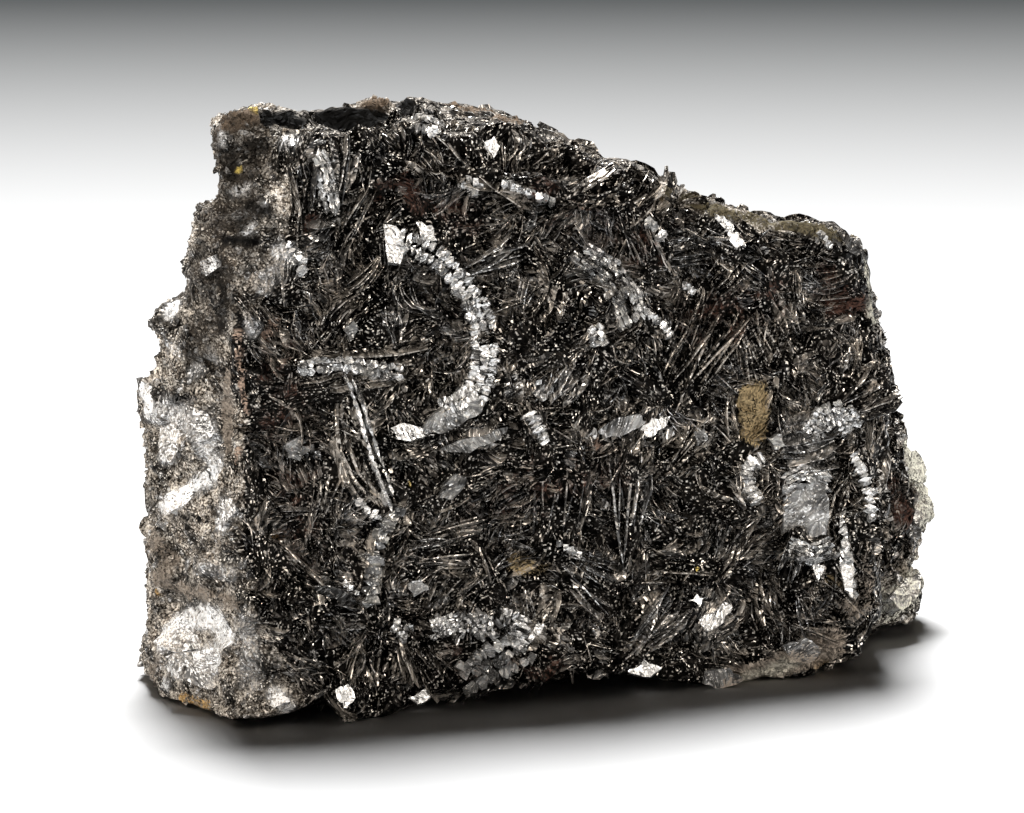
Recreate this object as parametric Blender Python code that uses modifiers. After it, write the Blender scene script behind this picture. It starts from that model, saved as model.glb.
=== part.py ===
"""Manganite specimen: one block of interlocking bladed crystals, standing on its broken base.

The block is the shape that two outlines share: the outline seen from the eye and the plan. Planes
then break its top and back, cleavage steps roughen it, and ribbed sheaves of crystal blades are
fused to it. Metres, +Z up, the bladed face towards -Y, the base flat at Z = 0.
"""

import math
import random

import bmesh
import bpy
from mathutils import Matrix, Vector, noise
from mathutils.bvhtree import BVHTree

MM = 0.001

# Driving dimensions
PICTURE_STEP = 0.12 * MM
EYE_AZIMUTH = math.radians(-20)
EYE_ELEVATION = math.radians(12)
EYE_DISTANCE = 750 * MM
AIM_POINT = Vector((0, 0, 33.4 * MM))
AIM_PIXEL = (540, 400)
FRONT_Y = -15.5 * MM
HEIGHT = 80 * MM
SIGHT_REACH = 0.09
BODY_VOXEL = 0.9 * MM
BODY_TRIANGLES = 3200
ALL_TRIANGLES = 9600
LUMP_HEIGHT = 0.8 * MM
LUMP_SIZE = 16 * MM
BREAK_SIZE = 7.5 * MM
BREAK_STEP = 0.9 * MM
BREAK_TILT = 0.26
BREAK_SINK = 0.35 * MM
FOOT_CUT = 0.35 * MM
FOOT_HOLD = 5.6 * MM
SHORT_EDGE = 0.15 * MM
SHORT_EDGE_ROUNDS = 6
SEED = 20

# The specimen's outline as the eye sees it, in pixels of the photograph, clockwise from the top left
OUTLINE_PIXELS = [
    (216, 114), (250, 110), (256, 105), (300, 106), (345, 104), (362, 97), (384, 99), (402, 104),
    (408, 97), (420, 99), (440, 106), (468, 103), (500, 109), (522, 119), (540, 129), (572, 141),
    (604, 155), (632, 163), (660, 178), (690, 190), (706, 200), (735, 210), (770, 216), (812, 220),
    (836, 223), (858, 236), (866, 250), (870, 290), (874, 322), (878, 338), (890, 356), (894, 388),
    (899, 420), (906, 446), (918, 452), (926, 470), (932, 490), (933, 514), (924, 526), (925, 560),
    (922, 590), (916, 602), (914, 618), (893, 626), (876, 622), (864, 640), (860, 656), (822, 664),
    (808, 682), (782, 684), (766, 676), (742, 684), (712, 692), (700, 684), (668, 682), (634, 670),
    (618, 676), (592, 668), (560, 684), (540, 682), (500, 686), (478, 690), (440, 694), (400, 712),
    (368, 726), (352, 714), (330, 702), (300, 708), (270, 716), (234, 721), (200, 708), (170, 698),
    (152, 684), (143, 664), (146, 640), (144, 622), (150, 596), (147, 560), (148, 520), (146, 470),
    (144, 430), (138, 396), (138, 384), (146, 372), (156, 364), (160, 338), (152, 322), (162, 306),
    (180, 292), (188, 262), (196, 222), (200, 206), (220, 200), (222, 178), (214, 160), (213, 132),
]

# The plan, in millimetres, counterclockwise from the corner between the left side and the face
PLAN_MM = [
    (-43, -15), (-30, -16.4), (-12, -15.6), (6, -16.4), (24, -15.8), (37, -16), (40.5, -11), (42, -4),
    (48.5, -1), (53.5, 5), (53, 12), (47, 16), (34, 19), (16, 21.5), (-6, 20), (-24, 19.5), (-38, 16),
    (-46.5, 13), (-48.5, 7), (-46, -4),
]

# Breaks through the block, each a point in millimetres and the normal of what is taken away
BREAKS = [
    ((-20, 5, 71.5), (0.01, -0.03, 1)),
    ((16, -9, 61.9), (0.415, 0, 1)),
    ((-43, -15, 56), (-0.62, -0.66, 0.42)),
    ((10, 20, 20), (0.22, 1, 0.3)),
    ((-20, 19, 22), (-0.3, 1, 0.24)),
    ((0, 15, 62), (0.05, 0.72, 0.7)),
    ((53, 10, 26), (0.8, 0.35, 0.5)),
    ((0, 18.5, 4), (0, 0.8, -0.6)),
]

# Vugs in the top: pixel of the mouth's middle, then length, width and depth in millimetres
VUGS = [
    ((281, 118), 6.0, 8.5, 5.0),
    ((350, 117), 10, 11.5, 7.0),
]
VUG_UNEVEN = 0.18

# Sheaves of blades on the face: pixel of the middle, direction of the blades in degrees from level,
# length and width in pixels, and how far the blades lean sideways, in degrees
SPRAYS = [
    ((330, 176), 88, 52, 28, 20), ((298, 208), 86, 60, 10, 0), ((357, 215), 62, 50, 16, -20),
    ((250, 312), -62, 32, 14, 0), ((350, 362), 6, 95, 28, 30), ((362, 440), -72, 130, 30, -15),
    ((316, 433), 8, 45, 25, 20), ((352, 307), 38, 48, 24, 30), ((287, 582), -48, 78, 36, -20),
    ((275, 622), -14, 46, 14, 30), ((388, 520), 50, 44, 16, 40), ((372, 555), 80, 46, 18, 40),
    ((368, 600), 95, 42, 18, 40), ((309, 669), -33, 58, 24, 20), ((347, 703), -50, 32, 16, 30),
    ((516, 184), -14, 72, 16, 30), ((425, 252), -30, 44, 26, 50), ((457, 285), -52, 44, 28, 50),
    ((478, 328), -78, 48, 28, 50), ((480, 370), -100, 46, 26, 50), ((495, 256), 22, 66, 16, 20),
    ((548, 258), -60, 46, 24, -20), ((592, 252), -22, 38, 28, 35), ((616, 277), -55, 48, 34, 35),
    ((631, 308), -70, 38, 30, 35), ((600, 189), 15, 48, 20, 20), ((641, 203), 32, 46, 22, 30),
    ((647, 240), -66, 48, 28, 0), ((413, 300), -50, 52, 18, 20), ((408, 433), 10, 38, 22, 60),
    ((457, 415), 25, 72, 28, 60), ((535, 345), 27, 104, 50, 40), ((535, 426), -60, 38, 18, 30),
    ((632, 427), 5, 78, 28, 45), ((459, 485), 35, 52, 30, 40), ((630, 518), 90, 100, 16, 0),
    ((453, 553), 0, 60, 40, -30), ((485, 575), -65, 42, 18, 0), ((535, 618), 70, 62, 32, 60),
    ((457, 623), 14, 62, 30, 50), ((426, 655), -57, 54, 28, 30), ((492, 662), 35, 72, 38, 40),
    ((541, 672), 60, 42, 22, 0), ((590, 652), -72, 46, 28, 20), ((628, 600), 28, 62, 16, 20),
    ((655, 625), 44, 64, 24, 0), ((730, 233), -48, 46, 32, 45), ((686, 245), 8, 48, 28, 20),
    ((726, 277), 50, 48, 28, 0), ((835, 290), 6, 72, 52, 20), ((653, 318), -35, 40, 18, 50),
    ((867, 395), 28, 46, 28, 20), ((750, 475), -80, 48, 20, 50), ((857, 470), -70, 38, 18, 40),
    ((804, 508), 88, 62, 50, 70), ((845, 540), -82, 96, 18, 40), ((771, 602), -85, 82, 28, 0),
    ((697, 569), -13, 66, 16, 20), ((712, 612), 40, 48, 38, 55), ((815, 620), -8, 62, 22, 0),
    ((700, 440), 46, 60, 36, 10), ((560, 500), 80, 70, 40, 0), ((700, 350), 60, 80, 50, -20),
    ((760, 340), -70, 70, 44, 20), ((800, 440), 10, 60, 40, 30), ((330, 505), 70, 60, 40, 20),
    ((590, 570), -30, 60, 36, 20),
]
SPRAY_GROWTH = 1.45
RIB_PIXELS = 11
RIB_COUNT = (2, 5)
SHEAF_RISE = (0.7 * MM, 1.6 * MM)
SHEAF_ROOT = 2.6 * MM
FAN_SHARE = 0.4
VALLEY_SHARE = 0.3
TIP_SHARE = 0.75
RAGGED_SHARE = 0.1
LEAN_SHARE = 0.45
ROOT_SHARE = 0.82

# Sheaves on the other sides
GRAINS = 40
GRAIN_LENGTH = (5 * MM, 12 * MM)
GRAIN_WIDTH = (2.5 * MM, 6 * MM)
GRAIN_RISE = (0.5 * MM, 1.2 * MM)
GRAIN_RIBS = (1, 3)
GRAIN_LEAN = 60


def clear_scene():
    for obj in list(bpy.data.objects):
        bpy.data.objects.remove(obj)


def new_collection(name):
    collection = bpy.data.collections.new(name)
    bpy.context.scene.collection.children.link(collection)
    return collection


def eye_axes():
    """Right, up and back of the eye that looks at the face."""
    sin_a, cos_a = math.sin(EYE_AZIMUTH), math.cos(EYE_AZIMUTH)
    sin_e, cos_e = math.sin(EYE_ELEVATION), math.cos(EYE_ELEVATION)
    right = Vector((cos_a, sin_a, 0))
    up = Vector((-sin_a * sin_e, cos_a * sin_e, cos_e))
    back = Vector((sin_a * cos_e, -cos_a * cos_e, sin_e))
    return right, up, back


RIGHT, UP, BACK = eye_axes()
EYE = AIM_POINT + BACK * EYE_DISTANCE


def on_picture(pixel):
    """The point of the picture plane, through the aim point, that a pixel shows."""
    across = (pixel[0] - AIM_PIXEL[0]) * PICTURE_STEP
    down = (pixel[1] - AIM_PIXEL[1]) * PICTURE_STEP
    return AIM_POINT + RIGHT * across - UP * down


def on_face(pixel):
    """The point of the face's plane that a pixel shows."""
    sight = on_picture(pixel) - EYE
    return EYE + sight * ((FRONT_Y - EYE.y) / sight.y)


def surface_of(obj):
    bm = bmesh.new()
    bm.from_mesh(obj.data)
    tree = BVHTree.FromBMesh(bm)
    bm.free()
    return tree


def on_surface(tree, pixel):
    """The point of the block that a pixel shows, or of the face's plane where it shows none."""
    sight = (on_picture(pixel) - EYE).normalized()
    return tree.ray_cast(EYE, sight)[0] or on_face(pixel)


def object_of(bm, name, collection):
    mesh = bpy.data.meshes.new(name)
    bm.to_mesh(mesh)
    bm.free()
    obj = bpy.data.objects.new(name, mesh)
    collection.objects.link(obj)
    return obj


def drawn_out(name, outline, move, collection):
    """A closed solid: the outline's face, drawn out to where move takes its points."""
    bm = bmesh.new()
    face = bm.faces.new([bm.verts.new(p) for p in outline])
    made = bmesh.ops.extrude_face_region(bm, geom=[face])
    for vertex in made["geom"]:
        if isinstance(vertex, bmesh.types.BMVert):
            vertex.co = move(vertex.co)
    bmesh.ops.triangulate(bm, faces=[f for f in bm.faces if len(f.verts) > 4])
    bmesh.ops.recalc_face_normals(bm, faces=bm.faces)
    return object_of(bm, name, collection)


def sight_prism(collection):
    """The outline carried along the lines of sight, from in front of the block to behind it."""
    near = [EYE + (on_picture(pixel) - EYE) * (1 - SIGHT_REACH) for pixel in OUTLINE_PIXELS]
    growth = (1 + SIGHT_REACH) / (1 - SIGHT_REACH)
    return drawn_out("sight_outline", near, lambda p: EYE + (p - EYE) * growth, collection)


def plan_prism(collection):
    low = [Vector((x * MM, y * MM, 0)) for x, y in PLAN_MM]
    return drawn_out("plan_outline", low, lambda p: p + Vector((0, 0, HEIGHT)), collection)


def apply_modifiers(obj):
    """Makes the evaluated mesh the object's own."""
    graph = bpy.context.evaluated_depsgraph_get()
    mesh = bpy.data.meshes.new_from_object(obj.evaluated_get(graph))
    obj.modifiers.clear()
    obj.data = mesh


def in_fixed_order(obj):
    """Rebuilds the mesh with sorted points and faces: a remesh gives them in no fixed order."""
    points = [tuple(round(x, 7) for x in v.co) for v in obj.data.vertices]
    places = {point: i for i, point in enumerate(sorted(set(points)))}
    faces = []
    for polygon in obj.data.polygons:
        face = [places[points[i]] for i in polygon.vertices]
        first = face.index(min(face))
        faces.append(face[first:] + face[:first])
    mesh = bpy.data.meshes.new(obj.name)
    mesh.from_pydata(sorted(places), [], sorted(faces))
    obj.data = mesh


def combine(obj, others, operation):
    """Joins the others to the object, cuts them from it, or keeps what they share."""
    for other in others:
        modifier = obj.modifiers.new(operation.lower(), "BOOLEAN")
        modifier.operation = operation
        modifier.solver = "MANIFOLD"
        modifier.object = other
    apply_modifiers(obj)


def break_off(obj, point, normal):
    """Cuts the block at a plane and closes it there."""
    bm = bmesh.new()
    bm.from_mesh(obj.data)
    geometry = bm.verts[:] + bm.edges[:] + bm.faces[:]
    cut = bmesh.ops.bisect_plane(
        bm, geom=geometry, plane_co=point, plane_no=normal, clear_outer=True, dist=0.001 * MM
    )
    edges = [e for e in cut["geom_cut"] if isinstance(e, bmesh.types.BMEdge)]
    bmesh.ops.triangle_fill(bm, edges=edges, use_beauty=True, normal=normal)
    bmesh.ops.recalc_face_normals(bm, faces=bm.faces)
    bm.to_mesh(obj.data)
    bm.free()


def own_vector(middle, salt):
    """A fixed vector for a cell, each part between -1 and 1."""
    return noise.cell_vector(middle * 50 + Vector((salt, salt, salt))) * 2 - Vector((1, 1, 1))


def broken_height(place):
    """Height of the broken surface: flat cleavage facets, each in a cell with its own step and tilt."""
    middle = noise.voronoi(place / BREAK_SIZE)[1][0]
    step = own_vector(middle, 0).x * BREAK_STEP
    tilt = own_vector(middle, 9).dot(place - middle * BREAK_SIZE) * BREAK_TILT
    return step + tilt + noise.noise(place / LUMP_SIZE) * LUMP_HEIGHT - BREAK_SINK


def roughen(obj):
    """Moves the surface out and in by the broken height, less near the foot, so that it stands firm."""
    bm = bmesh.new()
    bm.from_mesh(obj.data)
    bm.normal_update()
    moves = []
    for vertex in bm.verts:
        share = min(1, max(0, vertex.co.z) / FOOT_HOLD)
        moves.append(vertex.normal * broken_height(vertex.co) * share)
    for vertex, move in zip(bm.verts, moves):
        vertex.co += move
    bm.to_mesh(obj.data)
    bm.free()


def reduce_to(obj, wanted):
    """Joins small faces until about the wanted number of triangles is left."""
    decimate = obj.modifiers.new("facets", "DECIMATE")
    triangles = sum(len(p.vertices) - 2 for p in obj.data.polygons)
    decimate.ratio = wanted / triangles
    apply_modifiers(obj)


def make_block(parts, outline):
    block = plan_prism(parts)
    block.name = "manganite"
    combine(block, [outline], "INTERSECT")
    for point, normal in BREAKS:
        break_off(block, Vector(point) * MM, Vector(normal).normalized())
    remesh = block.modifiers.new("grain", "REMESH")
    remesh.mode = "VOXEL"
    remesh.voxel_size = BODY_VOXEL
    apply_modifiers(block)
    in_fixed_order(block)
    roughen(block)
    reduce_to(block, BODY_TRIANGLES)
    return block


def sheaf_row(x, width, ribs, lean, heights, ragged):
    """One end of a sheaf's ribbed surface: valleys and crests in turn, from one side to the other."""
    crest_place = 0.5 + LEAN_SHARE * math.sin(math.radians(lean))
    pitch = width / ribs
    row = [Vector((x, -width / 2, heights[0] * VALLEY_SHARE))]
    for i in range(ribs):
        y = -width / 2 + i * pitch
        row.append(Vector((x + ragged[i], y + crest_place * pitch, heights[i])))
        row.append(Vector((x + ragged[i] / 2, y + pitch, heights[i] * VALLEY_SHARE)))
    return row


def make_sheaf(matrix, length, width, ribs, lean, rise, rng, helpers):
    """A sheaf of blades grown together: ribs that fan out along X, rooted in the block."""
    heights = [rise * rng.uniform(0.65, 1.1) for _ in range(ribs)]
    ragged = [length * rng.uniform(-RAGGED_SHARE, RAGGED_SHARE) for _ in range(2 * ribs)]
    narrow = width * (1 - FAN_SHARE)
    low = [h * TIP_SHARE for h in heights]
    near = sheaf_row(-length / 2, narrow, ribs, lean, low, ragged[:ribs])
    far = sheaf_row(length / 2, width, ribs, lean, heights, ragged[ribs:])
    corners = ((-length, -narrow), (-length, narrow), (length, width), (length, -width))
    root = [Vector((x * ROOT_SHARE / 2, y * ROOT_SHARE / 2, -SHEAF_ROOT)) for x, y in corners]
    bm = bmesh.new()
    near = [bm.verts.new(p) for p in near]
    far = [bm.verts.new(p) for p in far]
    root = [bm.verts.new(p) for p in root]
    for i in range(len(near) - 1):
        bm.faces.new((near[i], far[i], far[i + 1], near[i + 1]))
    bm.faces.new((*near, root[1], root[0]))
    bm.faces.new((*reversed(far), root[3], root[2]))
    bm.faces.new((near[0], root[0], root[3], far[0]))
    bm.faces.new((near[-1], far[-1], root[2], root[1]))
    bm.faces.new(root)
    bmesh.ops.triangulate(bm, faces=bm.faces)
    bmesh.ops.recalc_face_normals(bm, faces=bm.faces)
    bmesh.ops.transform(bm, matrix=matrix, verts=bm.verts)
    return object_of(bm, "sheaf", helpers)


def spray_matrix(middle, direction):
    """X along the blades, Y across them and Z out of the face."""
    out = Vector((0, -1, 0))
    angle = math.radians(direction)
    along = Vector((math.cos(angle), 0, math.sin(angle)))
    across = out.cross(along)
    return Matrix.Translation(middle) @ Matrix((along, across, out)).transposed().to_4x4()


def face_sheaves(block, rng, helpers):
    tree = surface_of(block)
    sheaves = []
    for pixel, direction, length, width, lean in SPRAYS:
        low, high = RIB_COUNT
        ribs = min(high, max(low, round(width / RIB_PIXELS)))
        scale = SPRAY_GROWTH * PICTURE_STEP
        frame = spray_matrix(on_surface(tree, pixel), direction)
        rise = rng.uniform(*SHEAF_RISE)
        sheaves.append(make_sheaf(frame, length * scale, width * scale, ribs, lean, rise, rng, helpers))
    return sheaves


def side_sheaves(block, rng, helpers):
    """Sheaves on every side but the face and the foot."""
    faces = [
        p for p in block.data.polygons
        if p.normal.y > -0.75 and p.normal.z > -0.5 and p.center.z > FOOT_HOLD
    ]
    sheaves = []
    for face in rng.choices(faces, [p.area for p in faces], k=GRAINS):
        turn = Matrix.Rotation(rng.uniform(0, math.tau), 4, "Z")
        outward = face.normal.to_track_quat("Z", "Y").to_matrix().to_4x4()
        frame = Matrix.Translation(face.center) @ outward @ turn
        length, width, rise = (rng.uniform(*r) for r in (GRAIN_LENGTH, GRAIN_WIDTH, GRAIN_RISE))
        ribs = rng.randint(*GRAIN_RIBS)
        lean = rng.uniform(-GRAIN_LEAN, GRAIN_LEAN)
        sheaves.append(make_sheaf(frame, length, width, ribs, lean, rise, rng, helpers))
    return sheaves


def keep_largest(obj):
    """Removes crumbs that the base's plane has cut from the block."""
    bm = bmesh.new()
    bm.from_mesh(obj.data)
    islands, left = [], set(bm.verts)
    while left:
        island, reached = set(), [next(iter(left))]
        while reached:
            vertex = reached.pop()
            if vertex not in island:
                island.add(vertex)
                reached.extend(e.other_vert(vertex) for e in vertex.link_edges)
        islands.append(island)
        left -= island
    islands.sort(key=len)
    crumbs = [vertex for island in islands[:-1] for vertex in island]
    bmesh.ops.delete(bm, geom=crumbs, context="VERTS")
    bm.to_mesh(obj.data)
    bm.free()


def join_short_edges(obj):
    """Merges the two ends of each very short edge wherever the surface stays whole."""
    bm = bmesh.new()
    bm.from_mesh(obj.data)
    bmesh.ops.triangulate(bm, faces=bm.faces)
    for _ in range(SHORT_EDGE_ROUNDS):
        short = [e for e in bm.edges if e.calc_length() < SHORT_EDGE]
        for edge in sorted(short, key=lambda e: e.calc_length()):
            if not edge.is_valid or edge.calc_length() >= SHORT_EDGE:
                continue
            first, second = edge.verts
            shared = {e.other_vert(first) for e in first.link_edges}
            shared &= {e.other_vert(second) for e in second.link_edges}
            if len(shared) == 2:
                bmesh.ops.pointmerge(bm, verts=edge.verts, merge_co=(first.co + second.co) / 2)
    bm.to_mesh(obj.data)
    bm.free()


def make_ground(helpers):
    """What lies below the base's plane, as a box to cut away."""
    bm = bmesh.new()
    size = 2 * HEIGHT
    bmesh.ops.create_cube(bm, size=size, matrix=Matrix.Translation((0, 0, FOOT_CUT - size / 2)))
    return object_of(bm, "ground", helpers)


def make_vug(number, pixel, size, block, helpers):
    """A hollow in the top: an uneven ball with its middle where the line of sight meets the block."""
    place = on_surface(surface_of(block), pixel)
    stretch = Matrix.Diagonal((*(s * MM for s in size), 1))
    bm = bmesh.new()
    bmesh.ops.create_icosphere(bm, subdivisions=2, radius=0.5)
    for vertex in bm.verts:
        vertex.co *= 1 + VUG_UNEVEN * noise.noise(vertex.co * 4 + Vector((number, 0, 0)))
    bmesh.ops.transform(bm, matrix=Matrix.Translation(place) @ stretch, verts=bm.verts)
    return object_of(bm, f"vug_{number}", helpers)


def give_material(obj):
    """Iron-black with a metallic shine."""
    material = bpy.data.materials.new("manganite")
    material.use_nodes = True
    shader = material.node_tree.nodes["Principled BSDF"]
    shader.inputs["Base Color"].default_value = (0.11, 0.1, 0.095, 1)
    shader.inputs["Metallic"].default_value = 0.85
    shader.inputs["Roughness"].default_value = 0.35
    obj.data.materials.clear()
    obj.data.materials.append(material)


def centre_on_base(obj):
    """Puts the middle of the base's box on the origin."""
    corners = [Vector(c) for c in obj.bound_box]
    low = Vector(min(c[i] for c in corners) for i in range(3))
    high = Vector(max(c[i] for c in corners) for i in range(3))
    shift = Vector((-(low.x + high.x) / 2, -(low.y + high.y) / 2, -low.z))
    obj.data.transform(Matrix.Translation(shift))
    print("moved by, in mm:", [round(s / MM, 3) for s in shift])


def main():
    clear_scene()
    parts = new_collection("manganite_specimen")
    helpers = new_collection("cutters")
    outline = sight_prism(helpers)
    block = make_block(parts, outline)
    rng = random.Random(SEED)
    sheaves = face_sheaves(block, rng, helpers) + side_sheaves(block, rng, helpers)
    vugs = [
        make_vug(number, pixel, size, block, helpers)
        for number, (pixel, *size) in enumerate(VUGS)
    ]
    combine(block, sheaves, "UNION")
    combine(block, [outline], "INTERSECT")
    combine(block, [*vugs, make_ground(helpers)], "DIFFERENCE")
    join_short_edges(block)
    reduce_to(block, ALL_TRIANGLES)
    join_short_edges(block)
    keep_largest(block)
    centre_on_base(block)
    give_material(block)
    for helper in helpers.objects:
        helper.hide_render = True
        helper.display_type = "WIRE"


main()
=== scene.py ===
"""Manganite specimen: the looks of the bladed block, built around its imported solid.

The block's own surface is broken ground between the crystals. Thousands of thin bent blades stand in
sheaves on it, larger cleavage plates lie among them, and its left side is granular. Metres, +Z up,
the bladed face towards -Y, the base on Z = 0.
"""

import math
import random

import bmesh
import bpy
import numpy as np
from mathutils import Matrix, Vector, noise
from mathutils.bvhtree import BVHTree


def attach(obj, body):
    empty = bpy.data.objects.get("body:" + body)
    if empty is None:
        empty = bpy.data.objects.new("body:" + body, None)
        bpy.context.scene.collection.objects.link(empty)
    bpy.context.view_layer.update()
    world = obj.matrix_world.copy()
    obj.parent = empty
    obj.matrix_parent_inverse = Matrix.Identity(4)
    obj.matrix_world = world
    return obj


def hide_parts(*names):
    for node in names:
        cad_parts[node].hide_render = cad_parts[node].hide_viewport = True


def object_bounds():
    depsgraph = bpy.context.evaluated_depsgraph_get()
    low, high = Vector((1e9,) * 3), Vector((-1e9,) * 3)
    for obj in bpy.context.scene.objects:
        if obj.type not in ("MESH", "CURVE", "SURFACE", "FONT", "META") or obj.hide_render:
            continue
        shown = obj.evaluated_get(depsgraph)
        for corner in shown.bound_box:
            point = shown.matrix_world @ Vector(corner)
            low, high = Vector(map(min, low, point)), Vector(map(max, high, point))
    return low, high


MM = 0.001

# The photograph's eye, in the specimen's frame
PICTURE_SIZE = (1024, 813)
PICTURE_STEP = 0.12 * MM
EYE_AZIMUTH = math.radians(-20)
EYE_ELEVATION = math.radians(12)
EYE_DISTANCE = 750 * MM
AIM_POINT = Vector((-2.76, -0.5, 33.06)) * MM
AIM_PIXEL = (540, 400)
SENSOR = 36.0

# The broken ground between the blades: size and height of its lumps, how far it is sunk, how far it
# may rise, and below what height it fades, in millimetres
GROUND_VOXEL = 0.57 * MM
GROUND_RELIEF = ((4.5, 0.55), (2.0, 0.4), (1.0, 0.25))
GROUND_SINK = 0.12
GROUND_RISE = 0.3
GROUND_FOOT = 2
SEED = 7

# Blades, a unit long: one in a sheaf is a thin wedge with a ragged crest
BLADE_STATIONS = 5
BLADE_THICKNESS = 0.036
BLADE_CREST = 0.55
BLADE_END_HEIGHT = 0.45
BLADE_RAGGED = (0.78, 1.0)
BLADE_UNEVEN = 0.2
BLADE_BENDS = (-0.2, -0.09, 0.0, 0.09, 0.2)
BLADE_SHAPES = 3

# How the blades of a sheaf differ: shares of the length and the height, and angles in radians
SHEAF_JITTER = {"Raggedness": 0.22, "Fan jitter": 0.17, "Lean jitter": 0.4, "Height jitter": 0.4}
BLADE_LENGTHS = (0.5, 1.1)
SHEAF_SHINES = (0, 0, 0, 0, 0.1, 0.2, 0.35)

# How far the crests of a sheaf may stand out of the ground, and what its fan adds to its reach
STAND_PROUD = 1.0 * MM
NAMED_PROUD = 1.5 * MM
FAN_REACH = 1.25

# Sheaves that fill a side between the named ones. Sink is a share of the rise, tilt a share of the
# normal, and grain gap the share of sheaves that the granular end doesn't have
FINE = {"length": (2.2 * MM, 6.5 * MM), "width": (1.0 * MM, 3.6 * MM), "pitch": (0.2 * MM, 0.36 * MM),
        "rise": (1.2 * MM, 2.2 * MM), "sink": (0.35, 0.65), "tilt": 0.28, "grain_gap": 0.99}
COARSE = {"length": (3 * MM, 7 * MM), "width": (2 * MM, 5 * MM), "pitch": (0.4 * MM, 0.7 * MM),
          "rise": (1.0 * MM, 1.8 * MM), "sink": (0.55, 0.8), "tilt": 0.15, "grain_gap": 0.97}
TRIES = 8
PATCH_SIZE = 9 * MM
PATCH_SCATTER = 31
PATCH_SPREAD = 0.45
MOST_LEAN = 0.9
MOST_FAN = 0.7
BEND_CHOICES = (0, 1, 1, 2, 2, 2, 3, 3, 4)
PLATE_GAP = 0.9

# Named sheaves: how much larger than in the picture, as its thin ends don't show, and their build
NAMED_LONGER = 1.2
NAMED_WIDER = 1.3
NAMED_PITCH = 0.3 * MM
NAMED_RISE = (1.5, 2.1)
NAMED_SINK = 0.35
NAMED_FAN = (0.1, 0.5)
NAMED_TURN = 0.3

# Each stretch of the face that is filled: from and to in X, in millimetres, number of sheaves, seed
FACE_STRETCHES = {
    "left_face_blades": (-99, -14, 560, 2),
    "middle_face_blades": (-14, 14, 560, 3),
    "right_face_blades": (14, 99, 580, 7),
}
BACK_COUNT = 560
FACE_TURN = -0.35
BASE_TURN = -0.6

# Flakes, which are scales and grains, a unit long and wide, and their sizes in millimetres
FLAKE_SHAPES = 6
FLAKE_SIDES = (4, 6)
FLAKE_SKEW = 0.25
FLAKE_REACH = (0.4, 0.56)
FLAKE_SHRINK = 0.9
FLAKE_TOP = (-0.15, 0.1)
SCALE_SHIFT = 0.12
SCALE_SLIDE = 0.25
SCALE_UNEVEN = 0.6
SCALE_LONGER = (1.1, 1.7)
SCALE_WIDER = (1.0, 1.5)
SCALE_RISE = (1.0, 1.5)
SCALE_SHINES = (0.4, 0.7, 0.85, 1)
GRAIN_COUNT = 5200
GRAIN_SIZES = (0.25, 1.0)
GRAIN_PROUD = 0.22
GRAIN_RISE = (0.4, 0.8)
GRAIN_LONGER = (0.8, 1.8)
GRAIN_TURN = 0.7
GRAIN_BASE_TURN = -0.7

# Broad plates: how uneven their outlines are, how high each kind stands, and how deep they reach
RAGGED_PIXELS = 2.0
PLATE_RISE = {"square": 1.25 * MM, "key": 0.9 * MM, "left": 0.6 * MM, "right": 0.5 * MM}
PLATE_DEPTH = 2.2 * MM
LEFT_PLATE_TURN = 0.6
PLATE_SHADE = 0.5

# How softly what is drawn on the ground ends, and the step in pixels along its lines
SILVER_BLUR = 0.4
STAIN_AND_SHADE_BLUR = 0.45
STONE_BLUR = 0.3
BARE_BLUR = 0.2
LINE_STEP = 8

# Materials: chips of crystal in millimetres, grains of stone, and the turn of the stone's grid
CHIP_SIZE = 0.2
CRUST_GRAIN = 0.2 * MM
CRUST_TURN = (0.7, 0.5, 0.3)
CRUST_DARK = (0.012, 0.01, 0.008, 1)
CRUST_BROWN = (0.13, 0.11, 0.09, 1)
CRUST_PALE = (0.62, 0.58, 0.52, 1)
BUMP_HEIGHT = 0.25 * MM
SPECULAR = 0.05
IRON_BLACK = (0.005, 0.0045, 0.004, 1)
# The colour of the painted glints: light specks painted on the crystal's brightest chips
PAINTED_GLINT_COLOUR = (0.8, 0.76, 0.7, 1)
SILVER_COLOUR = (0.83, 0.84, 0.85, 1)
FINE_FACETS = {"Patch size": 5.0, "Blade length": 1.6, "Blade width": 0.2, "Tilt": 0.9}
SCALE_FACETS = {"Patch size": 6.0, "Blade length": 2.0, "Blade width": 0.16, "Tilt": 0.35}

# The stage: its white, its grey of painted shade further back, and how far behind the specimen the grey
# begins and is full
FLOOR_WHITE = (0.85, 0.85, 0.85, 1)
FLOOR_SHADE_GREY = (0.076, 0.081, 0.082, 1)
FLOOR_FADE = (0.178, 0.553)
FLOOR_FRONT = -1.5
FLOOR_SIDE = 2
FLOOR_BEND = 0.5
FLOOR_BEND_START = 0.9
FLOOR_BEND_STEP = 6
FLOOR_DROP = 0.02 * MM
WALL_TOP = 1.6
ROOM_LIGHT = 0.008
LIGHT_AIM = Vector((0, 0, 35)) * MM

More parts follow.
